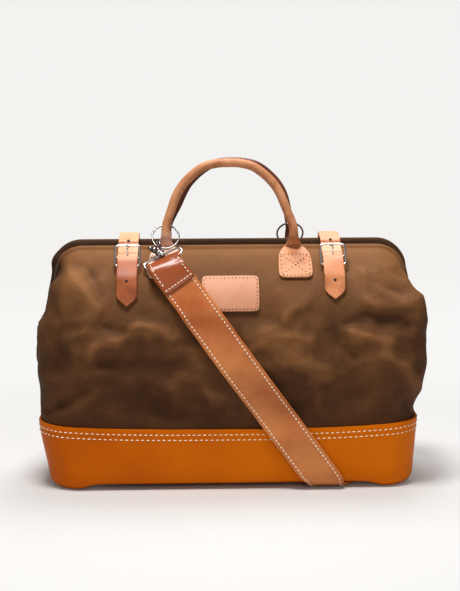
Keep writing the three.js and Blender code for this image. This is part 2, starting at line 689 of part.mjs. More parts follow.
const anchorTurns = [60, 46];
const anchorShares = [0, 0.06, 0.14, 0.25, 0.4, 0.6, 0.8, 1];
const tipShare = 0.12;
const prongSlotShare = 0.14;
const prongShares = [0, 0.3, 0.62, 1];
const prongRiseShare = 0.55;
function makeClosure(word, x) {
  const { front, back } = halves;
  const line = closureLine();
  const length = line.slice(1).reduce((sum, p, k) => sum + p.distanceTo(line[k]), 0);
  let along = 0;
  const points = line.map((p, k) => {
    along += k ? p.distanceTo(line[k - 1]) : 0;
    const left = (length - along) / tailPoint;
    return [p.y, p.z, (closureWidth / 2) * Math.max(Math.sin(Math.min(left, 1) * 90 * RAD), tipShare)];
  });
  let strap = solid(loft(bandRings(points, x, closureThickness)));
  const frameAxes = surfaceAxes(front, buckleZ, 0, x);
  const onFrame = (geometry) => solid(placed(geometry, ...frameAxes));
  const slot = rounded(holeRadius, buckleHeight / 4, holeRadius - gap);
  strap = strap.subtract(onFrame(slab(slot, 0, buckleLevel).translate(0, prongSlotShare * buckleHeight, 0)));
  const lowHole = onCanvas(front, buckleZ - buckleHeight / 2 - holePitch / 2, hugLevel);
  const holes = [[lowHole, V(0, -overrun, overrun / 2)], [onHem(front, frontHemTurns[0]), V(0, 0, overrun)]];
  for (const [[y, z], out] of holes)
    strap = strap.subtract(solid(bar(V(x, y, z).sub(out), V(x, y, z).add(out), holeRadius, 10)));
  add(`${word}_closure_strap`, strap, "paleTan");

  const anchor = [...anchorTurns.map((turn) => onHem(back, turn)),
    ...anchorShares.map((share) => onCanvas(back, mix(back.z - hemRadius, anchorLow, share), hugLevel))];
  const anchorPoints = anchor.map(([y, z]) => [y, z, closureWidth / 2]);
  add(`${word}_strap_anchor`, loft(bandRings(anchorPoints, x, closureThickness)), "paleTan");

  const reach = closureWidth / 2;
  const chapeOut = clothGap + closureThickness;
  const chape = layer(front, x - reach, x + reach, chapeLow, buckleZ + buckleBar, clothGap, chapeOut);
  add(`${word}_chape`, chape, "tan");
  const windowRound = buckleRound - buckleBar / 2;
  const window = rounded(buckleWidth / 2 - buckleBar, buckleHeight / 2 - buckleBar, windowRound);
  const rim = rounded(buckleWidth / 2, buckleHeight / 2, buckleRound);
  rim.holes.push(new THREE.Path(window.getPoints(3)));
  const barEnd = (buckleWidth - buckleBar) / 2;
  let frame = onFrame(slab(rim, buckleLevel, buckleLevel + buckleBar));
  const rod = (from, to) => onFrame(bar(from, to, buckleBar / 2, 10));
  frame = frame.add(rod(V(-barEnd, 0, barLevel), V(barEnd, 0, barLevel)));
  for (const end of [-barEnd, barEnd])
    frame = frame.add(rod(V(end, 0, barLevel), V(end, 0, buckleLevel + gap)));
  add(`${word}_buckle`, frame, "nickel");

  const over = buckleLevel + buckleBar + gap + prongDiameter / 2;
  const root = barLevel + buckleBar / 2 + gap + prongDiameter / 2;
  const prongLevels = [root, mix(root, over, prongRiseShare), over, over];
  const prong = prongShares.map((share, k) => V(0, (share * (buckleHeight - buckleBar)) / 2, prongLevels[k]));
  add(`${word}_prong`, placed(sweep(prong, prongDiameter / 2), ...frameAxes), "nickel");
}

// The snap hook hangs in a small ring round the handle's neck, and its post turns in the loop that holds the
// strap's end. The front one is at the left, and the back one is the same turned half round Z.
function hookPlaces(half) {
  const turned = (x, y, z) => V(-half.side * x, -half.side * y, z);
  const ringMiddle = turned(-handleSpan / 2, -half.handleY, handlePivotZ);
  const ringAxes = [turned(1, 0, 0), turned(0, Math.cos(ringTilt * RAD), Math.sin(ringTilt * RAD))];
  const [cos, sin] = [Math.cos(ringClock * RAD), Math.sin(ringClock * RAD)];
  const wire = ringMiddle.clone().addScaledVector(ringAxes[0], ringRadius * cos)
    .addScaledVector(ringAxes[1], ringRadius * sin);
  const wireAlong = ringAxes[0].clone().multiplyScalar(-sin).addScaledVector(ringAxes[1], cos);
  const bar = turned(-loopX, -half.handleY - loopOut, loopZ);
  const up = wire.clone().sub(bar).normalize();
  const rise = turned(Math.cos(loopTilt * RAD), 0, 0).setZ(Math.sin(loopTilt * RAD));
  const across = rise.setY((-up.x * rise.x - up.z * rise.z) / up.y).normalize();
  const hookOut = wireAlong.clone().addScaledVector(up, -wireAlong.dot(up)).normalize();
  const slant = (Math.abs(wireAlong.dot(up)) * hookWire) / 2;
  const length = wire.distanceTo(bar) - (hookInner - ringWire / 2 - 4 * gap - slant);
  return { ringMiddle, ringAxes, bar, up, across, length, hookOut };
}

const hookTurns = [270, 240, 210, 180, 150, 120, 90, 60, 36];
const gateTurns = [24, -44];
function makeSnapHook(name, half) {
  const { ringMiddle, ringAxes, bar: foot, up, across, length, hookOut } = hookPlaces(half);
  const ring = new THREE.TorusGeometry(ringRadius, ringWire / 2, 6, 24);
  const ringFace = ringAxes[0].clone().cross(ringAxes[1]);
  add(`${name}_ring`, placed(ring, ringMiddle, ...ringAxes, ringFace), "nickel");

  const onLoop = (geometry) => solid(placed(geometry, foot, across, up, across.clone().cross(up)));
  const frameHeight = (loopReach + loopWire) / 2;
  const rim = rounded(loopWidth / 2, frameHeight, loopRound);
  const window = rounded(loopWidth / 2 - loopWire, frameHeight - loopWire, loopRound - loopWire);
  rim.holes.push(new THREE.Path(window.getPoints(3)));
  const boss = [loopReach - loopWire / 2 - gap, loopReach + loopWire / 2 + gap];
  let loop = onLoop(slab(rim, -loopWire / 2, loopWire / 2).translate(0, loopReach / 2, 0));
  const upright = (low, high, radius) => onLoop(bar(V(0, low, 0), V(0, high, 0), radius, 12));
  loop = loop.add(upright(boss[0], boss[1], bossWidth / 2));
  loop = loop.subtract(upright(boss[0] - loopWire, boss[1] + loopWire, postDiameter / 2 + gap));
  add(`${name}_strap_loop`, loop, "nickel");

  const hookAcross = up.clone().cross(hookOut);
  const onHook = (geometry) => placed(geometry, foot, hookAcross, up, hookOut);
  const post = (low, high, radius) => solid(onHook(bar(V(0, low, 0), V(0, high, 0), radius, 12)));
  const collarLow = boss[1] + gap;
  const mean = hookInner + hookWire / 2;
  const arc = (turns) => turns.map((turn) =>
    V(mean * Math.cos(turn * RAD), length + mean * Math.sin(turn * RAD), 0));
  let hook = post(boss[0] - gap - postHead, boss[0] - gap, bossWidth / 2 - gap);
  hook = hook.add(post(boss[0] - gap - gap, collarLow + gap, postDiameter / 2));
  hook = hook.add(post(collarLow, length - mean + hookWire / 4, hookCollar / 2));
  hook = hook.add(solid(onHook(sweep(arc(hookTurns), hookWire / 2))));
  add(`${name}_hook`, hook, "darkNickel");
  add(`${name}_gate`, onHook(sweep(arc(gateTurns), hookWire / 2 - gap)), "darkNickel");
}

// The shoulder strap runs from the front loop, slantwise down the front, under the base and up the back.
const strapShares = [0.14, 0.22, 0.3, 0.4, 0.5, 0.6, 0.7, 0.8, 0.9, 1];
function strapLine(half) {
  const { bar: foot, up } = hookPlaces(half);
  const side = half.side;
  const footX = side < 0 ? strapFoot : strapBackFoot;
  const stand = strapStand + strapThickness / 2;
  const start = foot.clone().addScaledVector(up, -(loopWire / 2 + gap + clothGap));
  const places = strapShares.map((share) => {
    const z = mix(start.z, baseFootRound, share);
    const onBase = z < baseHeight + basePeakRise ? baseSection(z)[1] : 0;
    const onBody = Math.max(canvasSection(Math.min(z, pivotHeight))[1], onBase);
    const depth = z < pivotHeight ? onBody : Math.abs(onCanvas(half, z, 0)[0]);
    const lift = (tabThickness + clothGap) * ease((z - pivotHeight) / (labelLow - pivotHeight));
    return V(mix(start.x, footX, share), side * (depth + stand + lift), z);
  });
  return [start, start.clone().addScaledVector(up, -loopReach), ...places];
}

const strapSteps = 64;
const holdSteps = 5;
const turnInShare = 0.7;
const underShares = [-1, -0.5, 0, 0.5, 1];
function makeShoulderStrap() {
  const front = strapLine(halves.front);
  const back = strapLine(halves.back).reverse();
  const under = baseArch - strapThickness / 2 - gap;
  const turnIn = baseFootRound * turnInShare;
  const flat = underShares.map((share) =>
    V(mix(strapFoot, strapBackFoot, (share + 1) / 2), share * (baseFootDepth - turnIn), under));
  const route = smooth([...front, ...flat, ...back], strapSteps);
  const ends = { front: hookPlaces(halves.front).across.negate(), back: hookPlaces(halves.back).across };
  const rings = route.map((p, k) => {
    const along = route[Math.min(k + 1, strapSteps)].clone().sub(route[Math.max(k - 1, 0)]).normalize();
    const out = strapOut(p);
    const hold = ease(1 - Math.min(k, strapSteps - k) / holdSteps);
    const held = k < strapSteps / 2 ? ends.front : ends.back;
    const across = along.clone().cross(out).normalize().lerp(held, hold).normalize();
    const face = across.clone().cross(along).normalize();
    const corner = (side, level) => p.clone().addScaledVector(across, (side * strapWidth) / 2)
      .addScaledVector(face, (level * strapThickness) / 2);
    return [corner(-1, -1), corner(1, -1), corner(1, 1), corner(-1, 1)];
  });
  add("shoulder_strap", loft(rings), "tan");
}

// The strap's outward direction: straight out from the walls, straight down under the base, round between
// them.
function strapOut(point) {
  const side = Math.sign(point.y);
  if (point.z > pivotHeight) return V(0, point.y, point.z - pivotHeight).normalize();
  const low = clamp((baseFootRound - point.z) / baseFootRound, 0, 1);
  const inward = clamp((baseFootDepth + strapStand - Math.abs(point.y)) / baseFootRound, 0, 1);
  const turn = Math.min(low * inward * 2, 1) * 90 * RAD;
  return V(0, side * Math.cos(turn), -Math.sin(turn)).normalize();
}

makeBase();
makeCanvasBody();
makePivot("left", -1);
makePivot("right", 1);
for (const [name, half] of Object.entries(halves)) {
  makeMouthHalf(name, half);
  makeHandle(name, half);
  makeSnapHook(name, half);
}
makeClosure("left", -closureX);
makeClosure("right", closureX);
makeShoulderStrap();
const labelLeft = labelShift - labelWidth / 2;
add("label_patch", layer(halves.front, labelLeft, labelLeft + labelWidth, labelLow, labelHigh, clothGap,
  clothGap + labelThickness), "paleTan");

export default bag;
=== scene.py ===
import math

import bmesh
import bpy
from mathutils import Matrix, Vector, noise
from mathutils.bvhtree import BVHTree


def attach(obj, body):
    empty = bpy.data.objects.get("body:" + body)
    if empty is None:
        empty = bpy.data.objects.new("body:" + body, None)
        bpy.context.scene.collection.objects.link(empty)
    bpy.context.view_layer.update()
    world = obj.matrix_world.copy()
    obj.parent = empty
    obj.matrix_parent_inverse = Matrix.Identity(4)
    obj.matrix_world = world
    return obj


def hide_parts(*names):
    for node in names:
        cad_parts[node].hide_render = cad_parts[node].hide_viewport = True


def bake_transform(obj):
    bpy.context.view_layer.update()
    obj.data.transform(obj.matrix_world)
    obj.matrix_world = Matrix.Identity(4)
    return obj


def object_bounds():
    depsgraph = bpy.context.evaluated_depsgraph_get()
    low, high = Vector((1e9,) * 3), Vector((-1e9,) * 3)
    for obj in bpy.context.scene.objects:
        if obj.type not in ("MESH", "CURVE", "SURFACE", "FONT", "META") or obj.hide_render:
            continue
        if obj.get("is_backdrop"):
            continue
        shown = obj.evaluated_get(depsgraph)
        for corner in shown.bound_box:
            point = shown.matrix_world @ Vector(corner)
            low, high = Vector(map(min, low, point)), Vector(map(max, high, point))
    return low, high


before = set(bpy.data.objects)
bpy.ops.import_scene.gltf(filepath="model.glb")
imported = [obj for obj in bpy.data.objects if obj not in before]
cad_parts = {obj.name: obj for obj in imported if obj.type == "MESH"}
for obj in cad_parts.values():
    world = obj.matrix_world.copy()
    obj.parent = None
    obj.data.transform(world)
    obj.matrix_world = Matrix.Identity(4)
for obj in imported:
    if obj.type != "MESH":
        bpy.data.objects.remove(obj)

cad_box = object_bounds()


# The bag stands on a pale seamless table, seen from a little above and from the left of its middle. The
# floor turns into the plain background with distance, and keeps the bag's soft shadow close by.
class Value:
    """A number or colour in a tree of nodes. Sums and products of it add Math nodes."""

    def __init__(self, nodes, socket):
        self.nodes = nodes
        self.socket = socket

    def joined(self, operation, first, second):
        return self.nodes.node("ShaderNodeMath", {"operation": operation}, {0: first, 1: second})

    def __add__(self, other):
        return self.joined("ADD", self, other)

    def __radd__(self, other):
        return self.joined("ADD", other, self)

    def __sub__(self, other):
        return self.joined("SUBTRACT", self, other)

    def __rsub__(self, other):
        return self.joined("SUBTRACT", other, self)

    def __mul__(self, other):
        return self.joined("MULTIPLY", self, other)

    def __rmul__(self, other):
        return self.joined("MULTIPLY", other, self)


class Nodes:
    """A tree of shader nodes. All that the scene adds to one comes from its node method."""

    def __init__(self, tree):
        self.tree = tree

    def node(self, kind, settings, values, output=0):
        node = self.tree.nodes.new(kind)
        for name, value in settings.items():
            if name == "stops":
                self.set_stops(node.color_ramp, value)
            else:
                setattr(node, name, value)
        for name, value in values.items():
            if isinstance(value, Value):
                self.tree.links.new(value.socket, node.inputs[name])
            else:
                node.inputs[name].default_value = value
        return Value(self, node.outputs[output])

    def set_stops(self, ramp, stops):
        for place, colour in stops[2:]:
            ramp.elements.new(place)
        for element, (place, colour) in zip(ramp.elements, stops):
            element.position = place
            element.color = colour

    def between(self, value, low, high, start=0.0, end=1.0):
        """A soft step from start to end while the value goes from low to high."""
        return self.node("ShaderNodeMapRange", {"interpolation_type": "SMOOTHSTEP"},
            {"Value": value, "From Min": low, "From Max": high, "To Min": start, "To Max": end})

    def ray(self, kind):
        return self.node("ShaderNodeLightPath", {}, {}, f"Is {kind} Ray")

    def surface(self, share, first, second, output):
        """Two shaders, mixed by a share, on the tree's output."""
        mix = self.node("ShaderNodeMixShader", {}, {0: share, 1: first, 2: second})
        self.tree.links.new(mix.socket, self.tree.nodes[output].inputs["Surface"])


class Finish(Nodes):
    """A material. Its constants are set on the shader's own sockets."""

    def __init__(self, name, **constants):
        self.material = bpy.data.materials.new(name)
        self.material.use_nodes = True
        super().__init__(self.material.node_tree)
        self.shader = self.tree.nodes["Principled BSDF"]
        for socket, value in constants.items():
            self.shader.inputs[socket.replace("_", " ")].default_value = value

    def place(self, uv=False):
        return self.node("ShaderNodeTexCoord", {}, {}, "UV" if uv else "Object")

    def axis(self, place, way):
        return self.node("ShaderNodeSeparateXYZ", {}, {"Vector": place}, way)

    def speckle(self, place, scale, detail=3.0, roughness=0.55):
        values = {"Vector": place, "Scale": scale, "Detail": detail, "Roughness": roughness}
        return self.node("ShaderNodeTexNoise", {}, values, "Fac")

    def ramp(self, share, *stops):
        return self.node("ShaderNodeValToRGB", {"stops": stops}, {"Fac": share}, "Color")

    def blended(self, share, first, second):
        settings = {"data_type": "RGBA"}
        return self.node("ShaderNodeMix", settings, {0: share, 6: first, 7: second}, 2)

    def bump(self, height, distance, strength=1.0, over=None):
        values = {"Height": height, "Distance": distance, "Strength": strength}
        return self.node("ShaderNodeBump", {}, {**values, "Normal": over} if over else values, "Normal")

    def wear(self, **links):
        for socket, value in links.items():
            self.tree.links.new(value.socket, self.shader.inputs[socket.replace("_", " ")])
        return self


def painted(red, green, blue):
    """A colour as a painter reads it, 0 to 255, in the shader's linear light."""
    def linear(level):
        share = level / 255
        return share / 12.92 if share <= 0.04045 else ((share + 0.055) / 1.055) ** 2.4
    return (linear(red), linear(green), linear(blue), 1.0)


def kept(bm, name, finish):
    """The finished mesh as an object with its finish."""
    mesh = bpy.data.meshes.new(name)
    bm.to_mesh(mesh)
    bm.free()
    mesh.shade_smooth()
    mesh.materials.append(finish.material)
    piece = bpy.data.objects.new(name, mesh)
    bpy.context.scene.collection.objects.link(piece)
    return piece


backdrop_colour = painted(243, 242, 240)
floor_size = 12.0
shadow_reach, shadow_fade = 0.9, 0.8
near_glow, sky_strength = 1.05, 0.23

floor_finish = Finish("table_top", Base_Color=painted(206, 204, 201), Roughness=0.9)
far = floor_finish.node("ShaderNodeVectorMath", {"operation": "LENGTH"}, {0: floor_finish.place()}, "Value")
glow = floor_finish.between(far, shadow_reach, floor_size / 3, near_glow, 1.0)
plain = floor_finish.node("ShaderNodeEmission", {}, {"Color": backdrop_colour, "Strength": glow})
share = floor_finish.between(far, shadow_reach - shadow_fade, shadow_reach)
shaded = Value(floor_finish, floor_finish.shader.outputs["BSDF"])
floor_finish.surface(share * floor_finish.ray("Camera"), shaded, plain, "Material Output")
floor_mesh = bmesh.new()
bmesh.ops.create_grid(floor_mesh, x_segments=1, y_segments=1, size=floor_size / 2)
kept(floor_mesh, "floor", floor_finish)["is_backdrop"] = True

world = bpy.data.worlds.new("studio")
world.use_nodes = True
studio = Nodes(world.node_tree)
background = studio.tree.nodes["Background"]
background.inputs["Color"].default_value = backdrop_colour
background.inputs["Strength"].default_value = sky_strength
sky = Value(studio, background.outputs[0])
seen = studio.node("ShaderNodeBackground", {}, {"Color": backdrop_colour})
either = studio.node("ShaderNodeMath", {"operation": "MAXIMUM"},
    {0: studio.ray("Camera"), 1: studio.ray("Transmission")})
studio.surface(either, sky, seen, "World Output")
bpy.context.scene.world = world


def lamp(name, place, size, power):
    light = bpy.data.lights.new(name, "AREA")
    light.shape = "DISK"
    light.size = size
    light.energy = power
    holder = bpy.data.objects.new(name, light)
    holder.location = place
    holder.rotation_euler = (Vector(bag_middle) - Vector(place)).to_track_quat("-Z", "Y").to_euler()
    bpy.context.scene.collection.objects.link(holder)


bag_middle = (0.0, 0.0, 0.17)
lamp("key_lamp", (-0.16, -0.42, 1.65), size=0.5, power=27)
lamp("top_lamp", (0.20, 0.50, 1.60), size=1.0, power=17)
lamp("front_lamp", (0.25, -2.0, 0.9), size=1.2, power=8)

camera_place = (-0.040, -1.5, 0.389)
camera_pitch = math.radians(5.86)
camera_yaw = math.radians(1.55)
camera_roll = math.radians(0.31)
focal_pixels = 1167
picture_height = 591
lens = bpy.data.cameras.new("camera")
lens.sensor_width = 36
lens.lens = lens.sensor_width * focal_pixels / picture_height
camera = bpy.data.objects.new("camera", lens)
level = Matrix.Rotation(-camera_yaw, 4, "Z") @ Matrix.Rotation(math.pi / 2 - camera_pitch, 4, "X")
camera.matrix_world = Matrix.Translation(camera_place) @ level @ Matrix.Rotation(-camera_roll, 4, "Z")
bpy.context.scene.collection.objects.link(camera)
bpy.context.scene.camera = camera
bpy.context.scene.view_settings.view_transform = "Standard"


# The base is a tray moulded from one thick hide, orange tan and smooth. Its underside is arched between
# pads at its two ends, and its top edge rises to the corners and to a peak at each end.
base_half_length, base_half_depth = 0.243, 0.084
base_foot_length = 0.2365
foot_depth_share, foot_corner_share = 0.77, 0.9
base_height = 0.077
base_corner = 0.044
base_foot_round = 0.014
base_wall = 0.003
base_edge_round = 0.0007
base_arch = 0.0055
arch_flat, arch_end = 0.172, 0.204
end_rise = 0.0085
peak_rise, peak_half_width = 0.009, 0.030
cut_pitch = 0.012
right_draw, right_from, right_over = 0.006, 0.10, 0.13
right_below, right_fade = 0.158, 0.045
left_draw, left_from, left_over, left_fade = 0.007, 0.13, 0.10, 0.075
weld_gap = 1e-6
pore_scale = 420.0
base_colours = painted(190, 88, 0), painted(210, 106, 0)


def eased(share):
    return (1 - math.cos(math.pi * min(max(share, 0), 1))) / 2


def mixed(first, second, share):
    return first + (second - first) * share


def base_half(z):
    """The base's half length, half depth and corner at a height on its walls."""
    narrow = mixed(base_half_length - base_foot_length, 0, z / base_height)
    return (base_half_length - narrow, base_half_depth - narrow * foot_depth_share,
        base_corner - narrow * foot_corner_share)


def base_top(x, y):
    peak = peak_rise * eased(1 - abs(y) / peak_half_width) * (abs(x) > base_half_length - base_corner)
    return base_height + end_rise * abs(x / base_half_length) ** 3 + peak


def settled(x, z):
    """The used bag has settled: its right end is drawn in near the floor, its left foot is rounded away."""
    right = right_draw * eased((x - right_from) / right_over) * eased((right_below - z) / right_fade)
    left = left_draw * eased((-x - left_from) / left_over) * eased((base_height - z) / left_fade)
    return x - right + left


def add_modifier(piece, kind, **settings):
    modifier = piece.modifiers.new(kind.lower(), kind)
    for name, value in settings.items():
        setattr(modifier, name, value)


def leather(name, low, high, roughness, grain, mottle=9.0, gloss=0.22):
    """Smooth leather: slow clouds of colour, a fine pebbled grain and a sheen that varies with both."""
    finish = Finish(name, Specular_IOR_Level=gloss)
    place = finish.place()
    clouds = finish.speckle(place, mottle)
    pores = finish.speckle(place, pore_scale, 2.0)
    hue = finish.ramp(clouds, (0.35, low), (0.65, high))
    hue = finish.blended(pores * 0.25, hue, low)
    return finish.wear(Base_Color=hue, Roughness=clouds * 0.16 + (roughness - 0.08),
        Normal=finish.bump(pores, grain))


def boxed(half_length, half_depth, low, height, corner, open_top=False):
    """A block with rounded upright edges that stands on a level."""
    block = bmesh.new()
    size = Matrix.Diagonal((2 * half_length, 2 * half_depth, height, 1))
    bmesh.ops.create_cube(block, size=1, matrix=Matrix.Translation((0, 0, low + height / 2)) @ size)
    if open_top:
        bmesh.ops.delete(block, geom=[f for f in block.faces if f.normal.z > 0.5], context="FACES")
    upright = [e for e in block.edges if abs(e.verts[0].co.z - e.verts[1].co.z) > height / 2]
    bmesh.ops.bevel(block, geom=upright, offset=corner, offset_type="OFFSET", affect="EDGES", segments=8,
        profile=0.5, material=-1)
    return block


base_leather = leather("base_leather", *base_colours, 0.46, 0.00012, 6.0, 0.06)
tray = boxed(base_half_length, base_half_depth, 0, base_height, base_corner, open_top=True)
floor_edge = [e for e in tray.edges if max(v.co.z for v in e.verts) < base_foot_round]
bmesh.ops.bevel(tray, geom=floor_edge, offset=base_foot_round, offset_type="OFFSET", affect="EDGES",
    segments=4, profile=0.5, material=-1)
for normal, reach in (((1, 0, 0), base_half_length), ((0, 1, 0), base_half_depth), ((0, 0, 1), base_height)):
    steps = int(reach / cut_pitch)
    for step in range(-steps, steps + 1):
        bmesh.ops.bisect_plane(tray, geom=tray.verts[:] + tray.edges[:] + tray.faces[:], dist=weld_gap,
            plane_co=Vector(normal) * step * cut_pitch, plane_no=normal)
for corner in tray.verts:
    x, y, z = corner.co
    share = z / base_height
    length, depth, _ = base_half(z)
    arch = base_arch * (1 - eased((abs(x) - arch_flat) / (arch_end - arch_flat)))
    corner.co = (settled(x * length / base_half_length, z), y * depth / base_half_depth,
        mixed(arch, base_top(x, y), share) if z > base_foot_round else z + arch * (1 - share))
bmesh.ops.recalc_face_normals(tray, faces=tray.faces)
leather_tray = kept(tray, "leather_tray", base_leather)
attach(leather_tray, "bag")
add_modifier(leather_tray, "SOLIDIFY", thickness=base_wall, offset=-1)
add_modifier(leather_tray, "BEVEL", width=base_edge_round, segments=2, limit_method="ANGLE")
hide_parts("leather_base")

# The body is heavy waxed cotton canvas, dark brown and creased. A front and a back panel meet in a sunken
# seam down each end. They are tucked into the base and wrap round the rim's rods, edges turned in and sewn.
pivot_height = 0.205
canvas_low = 0.061
bulge_height = 0.160
canvas_foot = (0.2393, 0.0803, 0.0403)
canvas_bulge = (0.254, 0.092, 0.052)
canvas_waist = (0.2485, 0.0868, 0.048)
waist_extra, waist_turn = 0.0018, 0.26
upper_radius = 0.085
upper_half_length = 0.2466
upper_taper, upper_bow = 0.17, 1.667
upper_corner, upper_start = 0.046, 0.002
straight_to = math.radians(45)
hem_radius, hem_least = 0.0052, 0.0039
hem_tuck, hem_fade = 0.015, 0.024
gather_from, gather_over = 0.8, 0.2
seat_from, seat_over = 0.93, 0.07
wrap_share = 0.6
rim_corner = 0.034
rim_start = rim_foot = 0.014
rims = {"front": (-1, 0.221, 0.015, 0.297, 0.2285), "back": (1, 0.224, 0.009, 0.304, 0.2348)}
end_share, corner_share = 0.127, 0.238
body_share, upper_share = 0.488, 0.417
canvas_columns, canvas_rows = 132, 72
canvas_map = (0.7, 0.3)
canvas_thickness = 0.0016
angle_tries, turn_step, share_step = 12, 0.02, 0.004


class Half:
    """One half of the mouth, in polar form round the pivot line."""

    def __init__(self, name):
        self.side, self.rim_half, self.rim_y, self.rim_z, self.rim_leg = rims[name]
        self.reach = math.hypot(self.rim_y, self.rim_z - pivot_height)
        self.tilt = math.atan2(self.rim_z - pivot_height, self.rim_y)

    def radius(self, angle):
        share = (angle - straight_to) / (self.tilt - straight_to)
        return mixed(upper_radius, self.reach, eased(share))

    def at(self, x, radius, angle):
        return Vector((x, self.side * radius * math.cos(angle), pivot_height + radius * math.sin(angle)))

    def rim(self, across):
        """The rim's rod in its own plane: how far along the bag, and how far out from the pivot line."""
        x, away = plan(across, self.rim_half, self.reach, rim_corner, rim_start)
        if across < end_share:
            x = mixed(self.rim_leg, x, (away - rim_foot) / (self.reach - rim_corner - rim_foot))
        return x, away

    def hem_round(self, away):
        """The hem's radius round the rod: it is drawn tight where the two rims come together."""
        return mixed(hem_least, hem_radius, eased((away - rim_start) / hem_fade))

    def angle_at(self, z, level=0.0):
        angle = 0.0
        for _ in range(angle_tries):
            angle = math.asin(min((z - pivot_height) / (self.radius(angle) + level), 1))
        return angle

    def on_canvas(self, x, z, level=0.0):
        """The point at a level over the canvas at a height, with the way up and the way out there."""
        angle = self.angle_at(z, level)
        point, ahead, behind = (self.at(x, self.radius(turn) + level, turn)
            for turn in (angle, angle + turn_step, angle - turn_step))
        rise = (ahead - behind).normalized()
        return point, rise, Vector((1, 0, 0)).cross(rise) * -self.side


def plan(share, length, depth, corner, start):
    """A quarter of an outline seen from above: along the end, round the corner and over to the middle."""
    if share < end_share:
        return length, mixed(start, depth - corner, share / end_share)
    if share < end_share + corner_share:
        turn = (share - end_share) / corner_share * math.pi / 2
        return length - corner * (1 - math.cos(turn)), depth - corner * (1 - math.sin(turn))
    gone = (share - end_share - corner_share) / (1 - end_share - corner_share)
    return mixed(length - corner, 0, gone), depth


def canvas_half(z):
    """The body's half length, half depth and corner at a height between the base and the pivot line."""
    if z <= bulge_height:
        share = eased((z - base_height) / (bulge_height - base_height))
        return [mixed(low, high, share) for low, high in zip(canvas_foot, canvas_bulge)]
    rise = (z - bulge_height) / (pivot_height - bulge_height)
    return [mixed(low, high, rise * rise) for low, high in zip(canvas_bulge, canvas_waist)]


def canvas_place(half, u, v):
    """A point of one panel, from one end seam to the other and from its foot up and round the rod."""
    across, sign = 1 - abs(2 * u - 1), math.copysign(1, 2 * u - 1)
    if v < body_share:
        z = mixed(canvas_low, pivot_height, v / body_share)
        x, y = plan(across, *canvas_half(z), 0)
        return Vector((sign * x, half.side * y, z))
    share = min((v - body_share) / upper_share, 1)
    angle = share * (half.tilt - math.asin(hem_radius / half.reach))
    at_waist = 1 - min(angle / waist_turn, 1)
    radius = half.radius(angle) + waist_extra * at_waist
    height = radius * math.sin(angle)
    end = upper_half_length - upper_taper * height - height * height / upper_bow
    end += (canvas_waist[0] - upper_half_length) * at_waist
    drawn = eased((share - gather_from) / gather_over)
    x, away = plan(across, end, radius, upper_corner, upper_start)
    rim_x, rim_away = half.rim(across)
    outward = Vector((0, half.side * math.sin(half.tilt), -math.cos(half.tilt)))
    point = half.at(sign * mixed(x, rim_x, drawn), mixed(away, rim_away, drawn), angle)
    rod = half.at(sign * rim_x, rim_away, half.tilt)
    hem = half.hem_round(rim_away)
    point = mixed(point, rod + outward * hem, eased((share - seat_from) / seat_over))
    if v <= body_share + upper_share:
        return point
    wrap = (v - body_share - upper_share) / (1 - body_share - upper_share)
    ahead, behind = (half.rim(min(max(across + step, 0), 1)) for step in (share_step, -share_step))
    way = Vector((ahead[0] - behind[0], ahead[1] - behind[1])).normalized()
    over = half.at(sign * way.y, -way.x, half.tilt) - half.at(0, 0, half.tilt)
    turn = min(wrap / wrap_share, 1) * math.pi
    inside = max(wrap - wrap_share, 0) / (1 - wrap_share) * hem_tuck
    return rod + outward * (hem * math.cos(turn)) + over * (hem * math.sin(turn) - inside)


def laid(columns, rows, place, closed=False, size=(1, 1), faces=None):
    """A sheet whose points are placed by a rule of two shares. Its UV map is in metres when size is. An open
    sheet's outer side is the one that faces a given way."""
    bm = bmesh.new()
    uv = bm.loops.layers.uv.new("UVMap")
    bmesh.ops.create_grid(bm, x_segments=columns, y_segments=rows, size=0.5, calc_uvs=True)
    for corner in (loop for face in bm.faces for loop in face.loops):
        corner[uv].uv = ((corner.vert.co.x + 0.5) * size[0], (corner.vert.co.y + 0.5) * size[1])
    for vertex in bm.verts:
        vertex.co = place(vertex.co.x + 0.5, vertex.co.y + 0.5)
    if closed:
        bmesh.ops.remove_doubles(bm, verts=bm.verts, dist=weld_gap)
        bmesh.ops.holes_fill(bm, edges=[e for e in bm.edges if e.is_boundary], sides=0)
    bmesh.ops.recalc_face_normals(bm, faces=bm.faces)
    if faces and sum(face.normal.dot(faces) * face.calc_area() for face in bm.faces) < 0:
        bmesh.ops.reverse_faces(bm, faces=bm.faces)
    return bm


